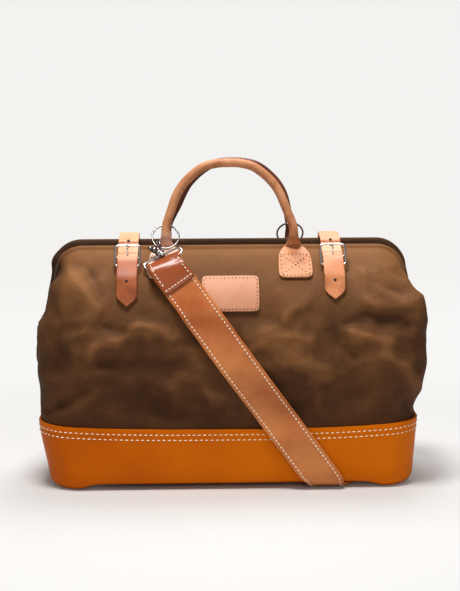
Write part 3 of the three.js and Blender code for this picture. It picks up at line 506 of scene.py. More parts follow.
# Each fold of the waxed canvas is a line of x and z, its height and its half width. Hollows have a negative
# height. The straps, tabs and label press the cloth flat between two x and above a z.
canvas_folds = {
    "front": (
        (((-0.207, 0.285), (-0.193, 0.256), (-0.171, 0.231), (-0.158, 0.226)), 0.006, 0.012),
        (((-0.112, 0.209), (-0.141, 0.187), (-0.168, 0.180), (-0.178, 0.148)), 0.007, 0.014),
        (((-0.112, 0.209), (-0.090, 0.203), (-0.070, 0.190)), 0.004, 0.012),
        (((-0.190, 0.284), (-0.175, 0.274), (-0.166, 0.253), (-0.160, 0.240)), -0.005, 0.009),
        (((-0.154, 0.206), (-0.142, 0.200), (-0.130, 0.201)), -0.006, 0.007),
        (((-0.175, 0.157), (-0.130, 0.160), (-0.076, 0.152)), -0.005, 0.016),
        (((-0.184, 0.128), (-0.205, 0.113), (-0.228, 0.100)), -0.005, 0.008),
        (((-0.222, 0.222), (-0.214, 0.190), (-0.210, 0.160)), -0.004, 0.016),
        (((-0.235, 0.092), (-0.205, 0.100), (-0.165, 0.126)), 0.004, 0.008),
        (((0.046, 0.203), (0.075, 0.226), (0.105, 0.237), (0.149, 0.240), (0.172, 0.230)), 0.006, 0.013),
        (((0.140, 0.206), (0.152, 0.214), (0.164, 0.220), (0.178, 0.215), (0.212, 0.206)), -0.007, 0.009),
        (((0.145, 0.199), (0.165, 0.192), (0.184, 0.186)), 0.006, 0.009),
        (((0.182, 0.246), (0.205, 0.234), (0.236, 0.238)), 0.004, 0.008),
        (((0.046, 0.192), (0.075, 0.193), (0.096, 0.188)), 0.004, 0.009),
        (((0.128, 0.200), (0.132, 0.182), (0.150, 0.168)), -0.004, 0.009),
        (((0.190, 0.168), (0.215, 0.150), (0.236, 0.120)), 0.004, 0.012),
        (((0.198, 0.150), (0.212, 0.118), (0.226, 0.092)), -0.004, 0.009),
        (((0.060, 0.160), (0.120, 0.150), (0.175, 0.148)), 0.003, 0.014),
        (((-0.080, 0.130), (-0.020, 0.120), (0.030, 0.110)), 0.003, 0.015),
        (((-0.015, 0.262), (0.020, 0.270), (0.050, 0.262)), 0.0022, 0.010),
        (((0.150, 0.285), (0.163, 0.268), (0.166, 0.252)), 0.003, 0.006),
        (((0.172, 0.288), (0.182, 0.272), (0.184, 0.258)), 0.003, 0.006),
    ),
    "back": (
        (((-0.200, 0.120), (-0.150, 0.165), (-0.080, 0.195)), 0.006, 0.014),
        (((-0.215, 0.190), (-0.160, 0.215), (-0.120, 0.205)), 0.005, 0.012),
        (((-0.140, 0.140), (-0.080, 0.155), (-0.020, 0.150)), -0.004, 0.012),
        (((-0.060, 0.185), (0.000, 0.200), (0.045, 0.195)), 0.005, 0.014),
        (((0.225, 0.130), (0.205, 0.165), (0.175, 0.200)), 0.006, 0.013),
        (((0.175, 0.118), (0.200, 0.125), (0.225, 0.110)), 0.004, 0.012),
        (((0.170, 0.205), (0.200, 0.195), (0.235, 0.205)), -0.005, 0.010),
        (((-0.040, 0.230), (0.010, 0.240), (0.050, 0.225)), 0.003, 0.012),
    ),
}
pressed_boxes = {
    "front": ((-0.112, 0.112, 0.255), (-0.150, -0.105, 0.222), (0.105, 0.150, 0.222), (-0.045, 0.050, 0.216)),
    "back": ((-0.112, 0.112, 0.255), (-0.150, -0.105, 0.226), (0.105, 0.150, 0.226)),
}
fold_lift, fold_share, fold_power = 1.15, 0.88, 1.35
press_fade, press_share, press_depth = 0.018, 0.2, 0.0012
broad_height, small_height, crumple_height, sharp_height = 0.0042, 0.0010, 0.0090, 0.0045
crumple_level, sharp_level = 0.25, 0.22
noise_scales = {"broad": (13, 13, 16), "small": (42, 42, 52), "crumple": (16, 16, 22), "sharp": (36, 30, 40)}
noise_leans = {"broad": (0, 0), "small": (0, 0), "crumple": (9, -7), "sharp": (-14, 12)}
noise_shifts = {"broad": (5, 0), "small": (0, 9), "crumple": (3, 0), "sharp": (7, 0)}
sharp_below, sharp_over = 0.27, 0.06
calm_share, calm_from, calm_over = 0.35, 0.25, 0.035
fold_seam = 0.05
foot_calm, foot_over, rim_calm, rim_over = 0.074, 0.03, 0.006, 0.022
crest_height = 0.012
seam_depth, seam_width, seam_middle, seam_reach = 0.0025, 0.014, 0.172, 0.05
left_slack, slack_from, slack_over = 0.006, 0.16, 0.08
end_billow, billow_away, billow_width, billow_middle, billow_from = 0.004, 0.046, 0.026, 0.165, 0.15
end_lean, lean_middle, lean_reach, lean_from = 0.0075, 0.226, 0.026, 0.13
lean_away, lean_over = 0.016, 0.022


def bell(place, middle, width):
    return math.exp(-((place - middle) / width) ** 2)


def fold_height(name, x, z):
    """How far the folds push the canvas out at a place."""
    height = 0.0
    for line, rise, width in canvas_folds[name]:
        nearest = 1.0
        for (x0, z0), (x1, z1) in zip(line, line[1:]):
            run, climb = x1 - x0, z1 - z0
            share = min(max(((x - x0) * run + (z - z0) * climb) / (run * run + climb * climb), 0), 1)
            nearest = min(nearest, math.hypot(x - x0 - share * run, z - z0 - share * climb))
        height += rise * fold_lift * math.exp(-(nearest / width / fold_share) ** fold_power)
    return height


def pressed(name, x, z):
    """1 where straps and tabs hold the canvas flat, falling to 0 away from them."""
    hold = 0.0
    for low_x, high_x, low_z in pressed_boxes[name]:
        off = max(low_x - x, x - high_x, low_z - z, 0)
        hold = max(hold, eased(1 - off / press_fade))
    return hold


def wave(kind, x, y, z, side):
    """Smooth noise. It has its scales, a lean of x with z and of z with x, and its own part for each side."""
    wide, deep, high = noise_scales[kind]
    lean, tip = noise_leans[kind]
    shift_y, shift_z = noise_shifts[kind]
    return noise.noise(Vector((x * wide + z * lean, y * deep + shift_y * side,
        z * high + x * tip + shift_z * side)))


def relief(name, half, x, y, z):
    """How far the cloth stands out from its smooth form: folds, a broad unevenness and small puckers."""
    crumple = crumple_level - abs(wave("crumple", x, y, z, half.side))
    sharp = sharp_level - abs(wave("sharp", x, y, z, half.side))
    fine = (wave("small", x, y, z, half.side) * small_height + crumple * crumple_height
        + sharp * sharp_height * eased((sharp_below - z) / sharp_over))
    height = fold_height(name, x, z) * min(abs(y) / fold_seam, 1)
    height += wave("broad", x, y, z, half.side) * broad_height
    height += fine * mixed(calm_share, 1, eased((calm_from - abs(x)) / calm_over))
    height = mixed(height, min(height, 0) * press_share - press_depth, pressed(name, x, z))
    return height * (eased((z - foot_calm) / foot_over) * eased((half.rim_z - rim_calm - z) / rim_over))


def end_shift(x, y, z):
    """How far the ends stand in: the sunken seam, less the slack, the billows and the lean beside it."""
    seam = bell(y, 0, seam_width) * bell(z, seam_middle, seam_reach)
    slack = left_slack * bell(z, bulge_height, seam_reach) * eased((-x - slack_from) / slack_over)
    billow = end_billow * bell(abs(y), billow_away, billow_width) * bell(z, billow_middle, seam_reach)
    sunken = math.copysign(seam_depth * seam - billow * eased((abs(x) - billow_from) / slack_over), x) - slack
    pull = end_lean * bell(z, lean_middle, lean_reach) * eased((abs(x) - lean_from) / slack_over)
    return sunken - pull * eased((abs(y) - lean_away) / lean_over)


def creased(bm, name, half):
    """Move each point by the relief and the ends' shift, and keep how high it stands for the finish."""
    bm.normal_update()
    crest = bm.verts.layers.float.new("crest")
    moves = []
    for vertex in bm.verts:
        vertex.co.x = settled(vertex.co.x, vertex.co.z)
        height = relief(name, half, *vertex.co)
        vertex[crest] = min(max(0.5 + height / crest_height, 0), 1)
        moves.append((vertex, vertex.normal * height - Vector((end_shift(*vertex.co), 0, 0))))
    for vertex, move in moves:
        vertex.co += move


canvas_dark, canvas_mid = painted(62, 36, 18), painted(104, 66, 36)
canvas_worn_and_lit, canvas_shade = painted(142, 95, 55), painted(30, 18, 11)
top_light_low, top_light_high = 0.215, 0.36
lower_shade_low, lower_shade_high = 0.10, 0.21
mouth_from, mouth_to = 0.279, 0.285
waxed_canvas = Finish("waxed_canvas", Specular_IOR_Level=0.11)
place = waxed_canvas.place()
clouds = waxed_canvas.speckle(place, 11.0, 5.0, 0.6)
mottle = waxed_canvas.speckle(place, 38.0, 4.0, 0.6)
weave = waxed_canvas.speckle(place, 900.0, 2.0)
crease = waxed_canvas.speckle(place, 26.0, 6.0, 0.62)
crest = waxed_canvas.node("ShaderNodeAttribute", {"attribute_name": "crest"}, {}, "Fac")
along, height = waxed_canvas.axis(place, "X"), waxed_canvas.axis(place, "Z")
row = waxed_canvas.axis(waxed_canvas.place(uv=True), "Y")
cloudy = height + clouds * 0.06
# Paler fold crests: partly wear of the wax, partly a painted highlight where the folds face the light.
crest_wear_and_light = waxed_canvas.between(crest + (mottle - 0.5) * 0.5, 0.62, 1.1, end=0.5)
# Painted light: the canvas is paler towards the top, and more so to the right, as the lamps fall on it.
top_light = waxed_canvas.between(cloudy + along * 0.13, top_light_low, top_light_high, end=0.55)
# Painted shade: the canvas darkens towards its foot, and more on the left.
lower_shade = waxed_canvas.between(cloudy + along * 0.05, lower_shade_low, lower_shade_high, 0.55, 0.0)
# Painted shade in the folds' hollows: where the canvas stands low it is darker.
hollow_shade = waxed_canvas.between(crest, 0.10, 0.46, 0.7, 0.0)
in_mouth = waxed_canvas.between(row, mouth_from, mouth_to, end=0.8)
tone = clouds * 0.55 + mottle * 0.25 + weave * 0.2
hue = waxed_canvas.ramp(tone, (0.34, canvas_dark), (0.66, canvas_mid))
for share, colour in ((crest_wear_and_light, canvas_worn_and_lit), (top_light, canvas_worn_and_lit), (lower_shade, canvas_dark),
        (hollow_shade, canvas_dark), (in_mouth, canvas_shade)):
    hue = waxed_canvas.blended(share, hue, colour)
ridges = waxed_canvas.node("ShaderNodeTexNoise", {"noise_type": "RIDGED_MULTIFRACTAL"},
    {"Vector": place, "Scale": 10.0, "Detail": 2.5, "Roughness": 0.5}, "Fac")
sunk = waxed_canvas.bump(crease * 0.7 + ridges * 0.3, 0.008, 0.6)
woven = waxed_canvas.bump(weave, 0.00025, over=sunk)
waxed_canvas.wear(Base_Color=hue, Roughness=clouds * 0.2 + 0.6, Normal=woven)

halves = {name: Half(name) for name in rims}
skins = {}


def softened(piece):
    add_modifier(piece, "SUBSURF", levels=1, render_levels=1)


for name, half in halves.items():
    panel = laid(canvas_columns, canvas_rows, lambda u, v: canvas_place(half, u, v), size=canvas_map,
        faces=Vector((0, half.side, 0)))
    creased(panel, name, half)
    skins[name] = BVHTree.FromBMesh(panel)
    canvas = kept(panel, f"{name}_canvas", waxed_canvas)
    add_modifier(canvas, "SOLIDIFY", thickness=canvas_thickness, offset=-1)
    softened(canvas)
    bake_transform(canvas)
    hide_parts(f"{name}_canvas_upper", f"{name}_mouth_hem",
        *(["canvas_body"] if name == "front" else []))

# A plain leather patch is sewn to the front canvas under the rim with dark thread close to its edges. It is
# pale vegetable-tanned hide, cut square with softened corners, and nothing is stamped on it.
label_left, label_right = -0.036, 0.0345
label_low, label_high = 0.2242, 0.2664
label_thickness, label_edge_round = 0.0024, 0.0006
patch_round, patch_power = 0.05, 8
patch_gap = 0.0005
stitch_margin = 0.0028
hole_pitch = 0.0046
dark_stitch = 0.0021, 0.0014, 0.0006
sewn_steps = 8
pale_tan = painted(188, 128, 96), painted(202, 144, 112)
dark_thread = Finish("dark_thread", Base_Color=painted(70, 38, 26), Roughness=0.75)
pale_leather = leather("pale_leather", *pale_tan, 0.5, 0.00015, 24.0)


def plate(half, x, low, high, width, level, columns=16, rows=10):
    """A flat piece of leather laid on the canvas, its corners a little rounded."""
    def place(u, v):
        a, b = 2 * u - 1, 2 * v - 1
        pull = 1 - patch_round * (a * b) ** patch_power
        z = mixed((low + high) / 2, high, b * pull)
        return half.on_canvas(x + a * pull * width / 2, z, level)[0]
    return laid(columns, rows, place, size=(width, high - low), faces=Vector((0, half.side, 0)))


def lump(bm, place, ways, sizes, sides, rows):
    """Add an oval ball to a mesh, its half sizes given along three ways."""
    stretch = Matrix([way * size for way, size in zip(ways, sizes)]).transposed().to_4x4()
    bmesh.ops.create_uvsphere(bm, u_segments=sides, v_segments=rows, radius=1,
        matrix=Matrix.Translation(place) @ stretch)


def threaded(name, spots, finish, length, width, height):
    """A row of stitches: each spot is a point, the way the thread runs and the way out of the leather."""
    bm = bmesh.new()
    for point, along, out in spots:
        along = along.normalized()
        side = out.cross(along).normalized()
        lump(bm, point, (along, side, along.cross(side)), (length / 2, width / 2, height), 6, 4)
    return kept(bm, name, finish)


def walked(points, pitch):
    """Places at an even pitch along a line of points, with the way the line runs at each."""
    spots, left = [], pitch / 2
    for start, end in zip(points, points[1:]):
        way = end - start
        while left <= way.length:
            spots.append((start + way.normalized() * left, way.normalized()))
            left += pitch
        left -= way.length
    return spots


def sewn_line(half, start, end, level, pitch):
    """Stitch places along a straight line of x and z that lies over the canvas."""
    shares = [k / sewn_steps for k in range(sewn_steps + 1)]
    line = [Vector((mixed(start[0], end[0], share), 0, mixed(start[1], end[1], share))) for share in shares]
    spots = []
    for flat, way in walked(line, pitch):
        point, rise, out = half.on_canvas(flat.x, flat.z, level)
        spots.append((point, Vector((way.x, 0, 0)) + rise * way.z, out))
    return spots


def sewn_box(half, x0, x1, z0, z1, level, pitch):
    """Stitch places round the edge of a piece that lies on the canvas."""
    corners = [(x0, z0), (x1, z0), (x1, z1), (x0, z1)]
    sides = zip(corners, corners[1:] + corners[:1])
    return [spot for start, end in sides for spot in sewn_line(half, start, end, level, pitch)]


front_half, back_half = halves["front"], halves["back"]
label_middle, label_width = (label_left + label_right) / 2, label_right - label_left
label_level = label_thickness + patch_gap
label_sheet = plate(front_half, label_middle, label_low, label_high, label_width, label_level)
label = kept(label_sheet, "leather_label", pale_leather)
add_modifier(label, "SOLIDIFY", thickness=label_thickness, offset=-1)
add_modifier(label, "BEVEL", width=label_edge_round, segments=2, limit_method="ANGLE")
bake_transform(label)
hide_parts("label_patch")
label_rows = sewn_box(front_half, label_left + stitch_margin, label_right - stitch_margin,
    label_low + stitch_margin, label_high - stitch_margin, label_level, hole_pitch)
label_thread = threaded("label_stitches", label_rows, dark_thread, *dark_stitch)
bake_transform(label_thread)

# Each handle is a strip of leather rolled round a rope core and sewn along its inner side. Its ends narrow,
# turn down as wrinkled necks and flatten into two pale tabs, sewn to the canvas round the edge and crosswise.
handle_span = 0.162
handle_top = 0.417
handle_roll = 0.0104
handle_foot = 0.313
handle_away = {"front": 0.030, "back": 0.036}
handle_span_shares = (1, 1, 0.985, 0.915, 0.8, 0.64, 0.41, 0.2, 0)
handle_rise_shares = (0, 0.06, 0.16, 0.345, 0.61, 0.79, 0.94, 0.99, 1)
arch_steps, arch_gap = 72, 0.003
arch_shift, shift_share = {"front": (-0.0015, -0.0062), "back": (0.006, -0.004)}, 1.6
tab_thickness = 0.003
tab_rows = ((0.2632, 0.0170), (0.2650, 0.0198), (0.2680, 0.0213), (0.2750, 0.0215), (0.2850, 0.0208),
    (0.2900, 0.0196), (0.2940, 0.0172), (0.2985, 0.0128))
neck_rows = ((0.3020, 0.0100), (0.3055, 0.0080), (0.3090, 0.0067), (0.3140, 0.0058))
neck_fold, neck_share = 0.0012, 1.3
tab_power, neck_power, round_power = 9.0, 4.0, 2.0
handle_sides = 24
lip_height, lip_width = 0.0010, 0.34
wrinkled_widths = 0.0056, 0.012
wrinkle_scale, wrinkle_height = 190, 0.0005
uneven_scale, uneven_height = 60, 0.0002
tab_sewn_low, tab_sewn_high, tab_sewn_half = 0.2665, 0.2905, 0.0178
tab_pale = painted(240, 204, 186)
# The back handle is the same leather as the front one; its darker colours are painted shade.
handle_looks = {
    "front": ("handle_leather", painted(164, 102, 66), painted(192, 130, 90), painted(208, 148, 108)),
    "back": ("shaded_handle_leather", painted(70, 34, 20), painted(96, 50, 32), painted(130, 74, 48)),
}


def smoothed(points, steps):
    """Points at even shares along a Catmull-Rom curve through the given ones."""
    line = [2 * points[0] - points[1], *points, 2 * points[-1] - points[-2]]
    spans = len(points) - 1
    out = []
    for k in range(steps + 1):
        span = min(int(k * spans / steps), spans - 1)
        t = k * spans / steps - span
        a, b, c, d = line[span:span + 4]
        out.append(0.5 * (2 * b + (c - a) * t + (2 * a - 5 * b + 4 * c - d) * t * t
            + (3 * b - a - 3 * c + d) * t ** 3))
    return out


def rounded_ring(point, across, out, width, thick, sides, power=round_power):
    """Points round a cross-section: an oval at power 2, nearly a rectangle at a high power."""
    ring = []
    for k in range(sides):
        turn = 2 * math.pi * k / sides
        cos, sin = math.cos(turn), math.sin(turn)
        ring.append(point + across * math.copysign(abs(cos) ** (2 / power), cos) * width
            + out * math.copysign(abs(sin) ** (2 / power), sin) * thick)
    return ring


def lofted(rings, looped=False):
    """A closed skin through rings of points, or a hoop when it is looped."""
    sides, rows = len(rings[0]), len(rings) - (0 if looped else 1)
    length = sum((b[0] - a[0]).length for a, b in zip(rings, rings[1:]))
    def place(u, v):
        return rings[round(v * rows) % len(rings)][round(u * sides) % sides]
    return laid(sides, rows, place, closed=True, size=(1, length))


def way_at(points, k, looped=False):
    """The way that a line of points, or a hoop of them, runs at one point."""
    last = len(points) - 1
    ahead = points[(k + 1) % (last + 1)] if looped else points[min(k + 1, last)]
    behind = points[k - 1] if looped else points[max(k - 1, 0)]
    return (ahead - behind).normalized()


def handle_finish(name, dark, middle, light):
    """Rolled leather, rubbed dark in its grain and pale on the tabs. UV runs round it and along it."""
    finish = Finish(name, Specular_IOR_Level=0.2)
    place = finish.place()
    clouds = finish.speckle(place, 32.0, 4.0)
    grain = finish.speckle(place, 300.0, 3.0)
    along = finish.axis(finish.place(uv=True), "Y")
    hue = finish.ramp(clouds * 0.9 + grain * 0.1, (0.36, dark), (0.52, middle), (0.68, light))
    fade = finish.ramp(along, (0.0, (1, 1, 1, 1)), (0.040, (0.8, 0.8, 0.8, 1)), (0.062, (0, 0, 0, 1)),
        (0.428, (0, 0, 0, 1)), (0.450, (0.8, 0.8, 0.8, 1)), (0.49, (1, 1, 1, 1)))
    hue = finish.blended(fade, hue, finish.blended(grain * 0.16, tab_pale, middle))
    return finish.wear(Base_Color=hue, Roughness=clouds * 0.2 + 0.36, Normal=finish.bump(grain, 0.00007, 0.5))


def handle_arch(name, y, top):
    """The middle line of a handle's roll, from its left neck up and over to its right one."""
    arch = [Vector((-share * handle_span / 2, y, handle_foot + rise * top))
        for share, rise in zip(handle_span_shares, handle_rise_shares)]
    arch += [Vector((-p.x, p.y, p.z)) for p in reversed(arch[:-1])]
    lean, drop = arch_shift[name]
    return [p + Vector((lean, 0, drop)) * eased((p.z - handle_foot) / top * shift_share)
        for p in smoothed(arch, arch_steps)]


def handle_end(half, y):
    """A tab and its neck, from the tab's foot up: point, way out, half width, half thickness and power."""
    x, away = -handle_span / 2, Vector((0, half.side, 0))
    rings = []
    for z, width in tab_rows:
        point, _, out = half.on_canvas(x, z, patch_gap + tab_thickness / 2)
        rings.append((point, out, width, tab_thickness / 2, tab_power))
    tab_end, low = rings[-1][0], tab_rows[-1][0]
    for z, width in neck_rows:
        share = (z - low) / (neck_rows[-1][0] - low)
        thick = mixed(tab_thickness / 2 + neck_fold, handle_roll / 2, eased(share * neck_share))
        rings.append((Vector((x, mixed(tab_end.y, y, eased(share)), z)), away, width, thick,
            mixed(neck_power, round_power, eased(share))))
    return rings


for name, half in halves.items():
    y = half.side * handle_away[name]
    near_end = handle_end(half, y)
    far_end = [(Vector((-p.x, p.y, p.z)), *rest) for p, *rest in reversed(near_end)]
    roll = [(p, Vector((0, half.side, 0)), handle_roll / 2, handle_roll / 2, round_power)
        for p in handle_arch(name, y, handle_top - handle_roll / 2 - handle_foot)
        if p.z > neck_rows[-1][0] + arch_gap or abs(p.x) < handle_span / 2 - arch_gap]
    route = near_end + roll + far_end
    middles = [p for p, *_ in route]
    rings = []
    for k, (point, out, width, thick, power) in enumerate(route):
        along = way_at(middles, k)
        across = along.cross(out).normalized() * half.side * -1
        out = across.cross(along).normalized() * half.side * -1
        ring = rounded_ring(point, across, out, width, thick, handle_sides, power)
        wrinkle = wrinkle_height * (wrinkled_widths[0] < width < wrinkled_widths[1])
        for side, corner in enumerate(ring):
            turn = (side / handle_sides + 0.5) % 1 * 2 * math.pi - math.pi
            lip = lip_height * math.exp(-(turn / lip_width) ** 2) * (power == round_power)
            rough = noise.noise(corner * wrinkle_scale) * wrinkle
            rough += noise.noise(corner * uneven_scale) * uneven_height
            ring[side] = corner + (corner - point).normalized() * (lip + rough)
        rings.append(ring)
    handle = kept(lofted(rings), f"{name}_rolled_handle", handle_finish(*handle_looks[name]))
    softened(handle)
    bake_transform(handle)
    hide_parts(f"{name}_handle", f"{name}_handle_core", f"{name}_left_tab", f"{name}_right_tab")
    spots = []
    for x in (-handle_span / 2, handle_span / 2):
        left, right, level = x - tab_sewn_half, x + tab_sewn_half, patch_gap + tab_thickness
        spots += sewn_box(half, left, right, tab_sewn_low, tab_sewn_high, level, hole_pitch)
        spots += sewn_line(half, (left, tab_sewn_low), (right, tab_sewn_high), level, hole_pitch)
        spots += sewn_line(half, (right, tab_sewn_low), (left, tab_sewn_high), level, hole_pitch)
    tab_thread = threaded(f"{name}_tab_stitches", spots, dark_thread, *dark_stitch)
    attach(tab_thread, f"{name}_frame")

# The shoulder strap is a broad band of thick tan leather with a white thread along both edges. Each end is
# folded over the bar of a metal loop and sewn down, and between them it passes under the bag.
strap_width, strap_thickness = 0.0445, 0.004
strap_power, strap_sides = 7.0, 20
strap_foot = {"front": 0.112, "back": 0.134}
strap_stand, strap_rise = 0.0032, 0.0005
strap_shares = (0.14, 0.22, 0.3, 0.4, 0.5, 0.6, 0.7, 0.8, 0.9, 1)
strap_steps, hold_steps, level_steps = 132, 10, 40
loop_bar = {"front": Vector((-0.082, -0.061, 0.284)), "back": Vector((0.082, 0.067, 0.284))}
bar_gap, bar_lead = 0.0023, 0.012
hang_way = Vector((-0.28849, 0.76527, 0.57545))
bar_way = Vector((0.90605, 0.02386, 0.4225))
under_gap = 0.0003
under_ways = {"front": ((0.120, -0.0692), (0.134, -0.045), (0.145, -0.02), (0.148, 0)),
    "back": ((0.134, 0.0692), (0.139, 0.045), (0.145, 0.02), (0.148, 0))}
edge_margin, edge_pitch = 0.0045, 0.0052
white_stitch = 0.0037, 0.0016, 0.0009
cross_pitch, cross_half = 0.0045, 4
flap_length, flap_lap, flap_thickness = 0.036, 0.003, 0.0028
flap_turn, flap_turns = 0.0035, (10, 50, 90, 130, 170)
flap_narrow, flap_power, flap_steps = 0.0004, 6.0, 44
flap_tucks = ((2, 0.0012), (4, 0.0006))
strap_leather = leather("strap_leather", painted(162, 82, 34), painted(202, 126, 70), 0.36, 0.00012, 13.0)
flap_leather = leather("flap_leather", painted(126, 54, 18), painted(150, 72, 28), 0.28, 0.0001, 20.0, 0.35)
white_thread = Finish("white_thread", Base_Color=painted(238, 222, 196), Roughness=0.7)


def turned(half, way):
    """A way on the front of the bag, or the like way on the back, which is the front turned half round."""
    return Matrix.Rotation(math.pi, 3, "Z") @ way if half.side > 0 else way


def wall_depth(z):
    if z < base_height + peak_rise:
        return base_half(min(z, base_height))[1]
    return canvas_half(min(z, pivot_height))[1]


def strap_route(name):
    """The strap's middle line from its loop down to the base's foot."""
    half = halves[name]
    hang = turned(half, hang_way)
    start = loop_bar[name] - hang * bar_gap
    points = [start, start - hang * bar_lead]
    for share in strap_shares:
        z = mixed(start.z, base_foot_round, share)
        depth = wall_depth(z) if z < pivot_height else abs(half.on_canvas(0, z)[0].y)
        lift = (tab_thickness + strap_rise) * eased((z - pivot_height) / (label_low - pivot_height))
        stand = strap_stand + strap_thickness / 2 + lift
        points.append(Vector((mixed(start.x, strap_foot[name], share), half.side * (depth + stand), z)))
    return points


def strap_band(route, held, side):
    """Cross-sections of the band: where it is, and its directions along, across and out. Lower down they
    lie level, so that the band bends under the bag without a twist, and across is longer than 1 by their
    slant."""
    rows = []
    for k, point in enumerate(route):
        along = way_at(route, k)
        out = Vector((0, -side * along.z, side * along.y)).normalized()
        square = along.cross(out).normalized()
        square = square.lerp(held, eased(1 - k / hold_steps)).normalized()
        out = square.cross(along).normalized()
        across = square.lerp(Vector((side, 0, 0)), eased((k - hold_steps) / level_steps)).normalized()
        rows.append((point, along, across / across.dot(square), out))
    return rows


def strap_spots(rows, far):
    """Stitch places along both edges of a band, and across it where its folded end stops."""
    start, spots = rows[0][0], []
    outs = [out for _, _, _, out in rows[3:]]
    for edge in (-1, 1):
        line = [point + across * edge * (strap_width / 2 - edge_margin) + out * strap_thickness / 2
            for point, _, across, out in rows[3:]]
        for point, way in walked(line, edge_pitch):
            near = min(range(len(line)), key=lambda k: (line[k] - point).length)
            lifted = flap_thickness if (point - start).length < flap_length else 0.0
            spots.append((point + outs[near] * lifted, way, outs[near]))
    point, _, across, out = rows[far]
    for k in range(-cross_half, cross_half + 1):
        spot = point + across * k * cross_pitch + out * (strap_thickness / 2 + flap_thickness)
        spots.append((spot, across, out))
    return spots


def flap_rings(rows, far, bar, hang):
    """Cross-sections of the strap's end, back over the band, round the loop's bar and in behind it."""
    lap, face = (strap_thickness + flap_thickness) / 2, rows[0][3]
    fold = [point + out * lap for point, _, _, out in rows[far + 1:2:-3]]
    fold += [bar + hang * flap_turn * math.sin(turn) + face * flap_turn * math.cos(turn)
        for turn in (math.radians(step) for step in flap_turns)]
    fold += [rows[k][0] - rows[k][3] * tuck for k, tuck in flap_tucks]
    fold = smoothed(fold, flap_steps)
    rings = []
    for k, point in enumerate(fold):
        _, _, across, _ = rows[min(range(far + 2), key=lambda row: (rows[row][0] - point).length)]
        out = across.cross(way_at(fold, k)).normalized()
        rings.append(rounded_ring(point, across, out, strap_width / 2 - flap_narrow, flap_thickness / 2,
            strap_sides, flap_power))
    return rings


under = base_arch - strap_thickness / 2 - under_gap
for name, half in halves.items():
    flat = [Vector((x, half.side * abs(y), under)) for x, y in under_ways[name]]
    route = smoothed(strap_route(name) + flat, strap_steps)
    rows = strap_band(route, turned(half, bar_way * -1), half.side)
    far = min(range(len(rows)), key=lambda k: abs((route[k] - route[0]).length - flap_length + flap_lap))
    rings = [rounded_ring(point, across, out, strap_width / 2, strap_thickness / 2, strap_sides, strap_power)
        for point, along, across, out in rows]
    strap = kept(lofted(rings), f"{name}_shoulder_strap", strap_leather)
    softened(strap)
    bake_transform(strap)
    if name == "front":
        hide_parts("shoulder_strap")
    strap_thread = threaded(f"{name}_strap_stitches", strap_spots(rows, far), white_thread, *white_stitch)
    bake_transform(strap_thread)

    flap = kept(lofted(flap_rings(rows, far, loop_bar[name], turned(half, hang_way))), f"{name}_strap_fold",
        flap_leather)
    softened(flap)
    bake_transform(flap)

# Two leather straps are sewn to the back and come over the rim to plated centre-bar buckles on the front.
# Each is pale at the rim, painted darker below its buckle as shade, punched for the prong and cut to a point.
closure_places = {"left": -0.128, "right": 0.128}
closure_width, closure_thickness = 0.0254, 0.003
closure_power, closure_sides, closure_steps = 7.0, 20, 64
closure_tips = {"left": 0.231, "right": 0.238}
closure_point, blunt_share = 0.014, 0.06
closure_over = hem_radius + 0.0003 + closure_thickness / 2
closure_slack = 0.0045
back_slacks = ((62, 0.3), (80, 0.8), (98, 1.0))
front_slacks = ((98, 1.0), (122, 0.9), (148, 0.5))
buckle_middle = 0.282
buckle_size = (0.033, 0.0295)
buckle_upright = 0.45
buckle_wire, bar_wire_share = 0.0014, 0.9
buckle_corner = 0.003
buckle_bow = 0.0006
buckle_sides, bar_steps = 10, 24
through_level, hug_level, frame_level, bar_level = 0.0084, 0.0020, 0.0122, 0.0052
through_stops = ((0.008, 0.0), (0.0, 0.0006), (-0.014, 0.001))
tail_shares, hug_share = (0.3, 0.6, 0.85, 1), 0.83
prong_radius, prong_steps = 0.0011, 16
prong_stops = ((0.0006, 0.0, bar_level + 0.0026), (0.0, 0.3, bar_level + 0.0046),
    (0.0, 0.62, frame_level + 0.0012), (0.0, 0.9, frame_level + 0.0027), (0.0, 1.06, frame_level + 0.0024))
hole_size, hole_depth = 0.0021, 0.0003
hole_heights = (0.3155, 0.2990, 0.2600)
across = Vector((1, 0, 0))


def on_hem(half, turn, level):
    """A point over a rim's hem, by its turn round the rod in degrees."""
    turn = math.radians(turn)
    return Vector((0, half.side * half.rim_y + (closure_over + level) * math.cos(turn),
        half.rim_z + (closure_over + level) * math.sin(turn)))


def swept(path, radius, sides=12, hoop=False):
    """A round rod along a line, or a hoop. Its radius is a number or a rule of the share along."""
    last = len(path) - 1
    out = (path[1] - path[0]).cross(path[min(2, last)] - path[1])
    out = out.normalized() if out.length > 1e-9 else (path[1] - path[0]).orthogonal().normalized()
    rings = []
    for k, point in enumerate(path):
        along = way_at(path, k, hoop)
        out = (out - along * out.dot(along)).normalized()
        size = radius(k / last) if callable(radius) else radius
        rings.append(rounded_ring(point, along.cross(out), out, size, size, sides))
    return lofted(rings, hoop)


def joined(*parts):
    """One mesh from several. Each part's mesh is used up."""
    whole = bmesh.new()
    for part in parts:
        mesh = bpy.data.meshes.new("part")
        part.to_mesh(mesh)
        part.free()
        whole.from_mesh(mesh)
        bpy.data.meshes.remove(mesh)
    return whole


def framed(points, middle, across, rise, out):
    """Points given across, up and out from a middle, as they lie on the bag."""
    return [middle + across * x + rise * y + out * z for x, y, z in points]


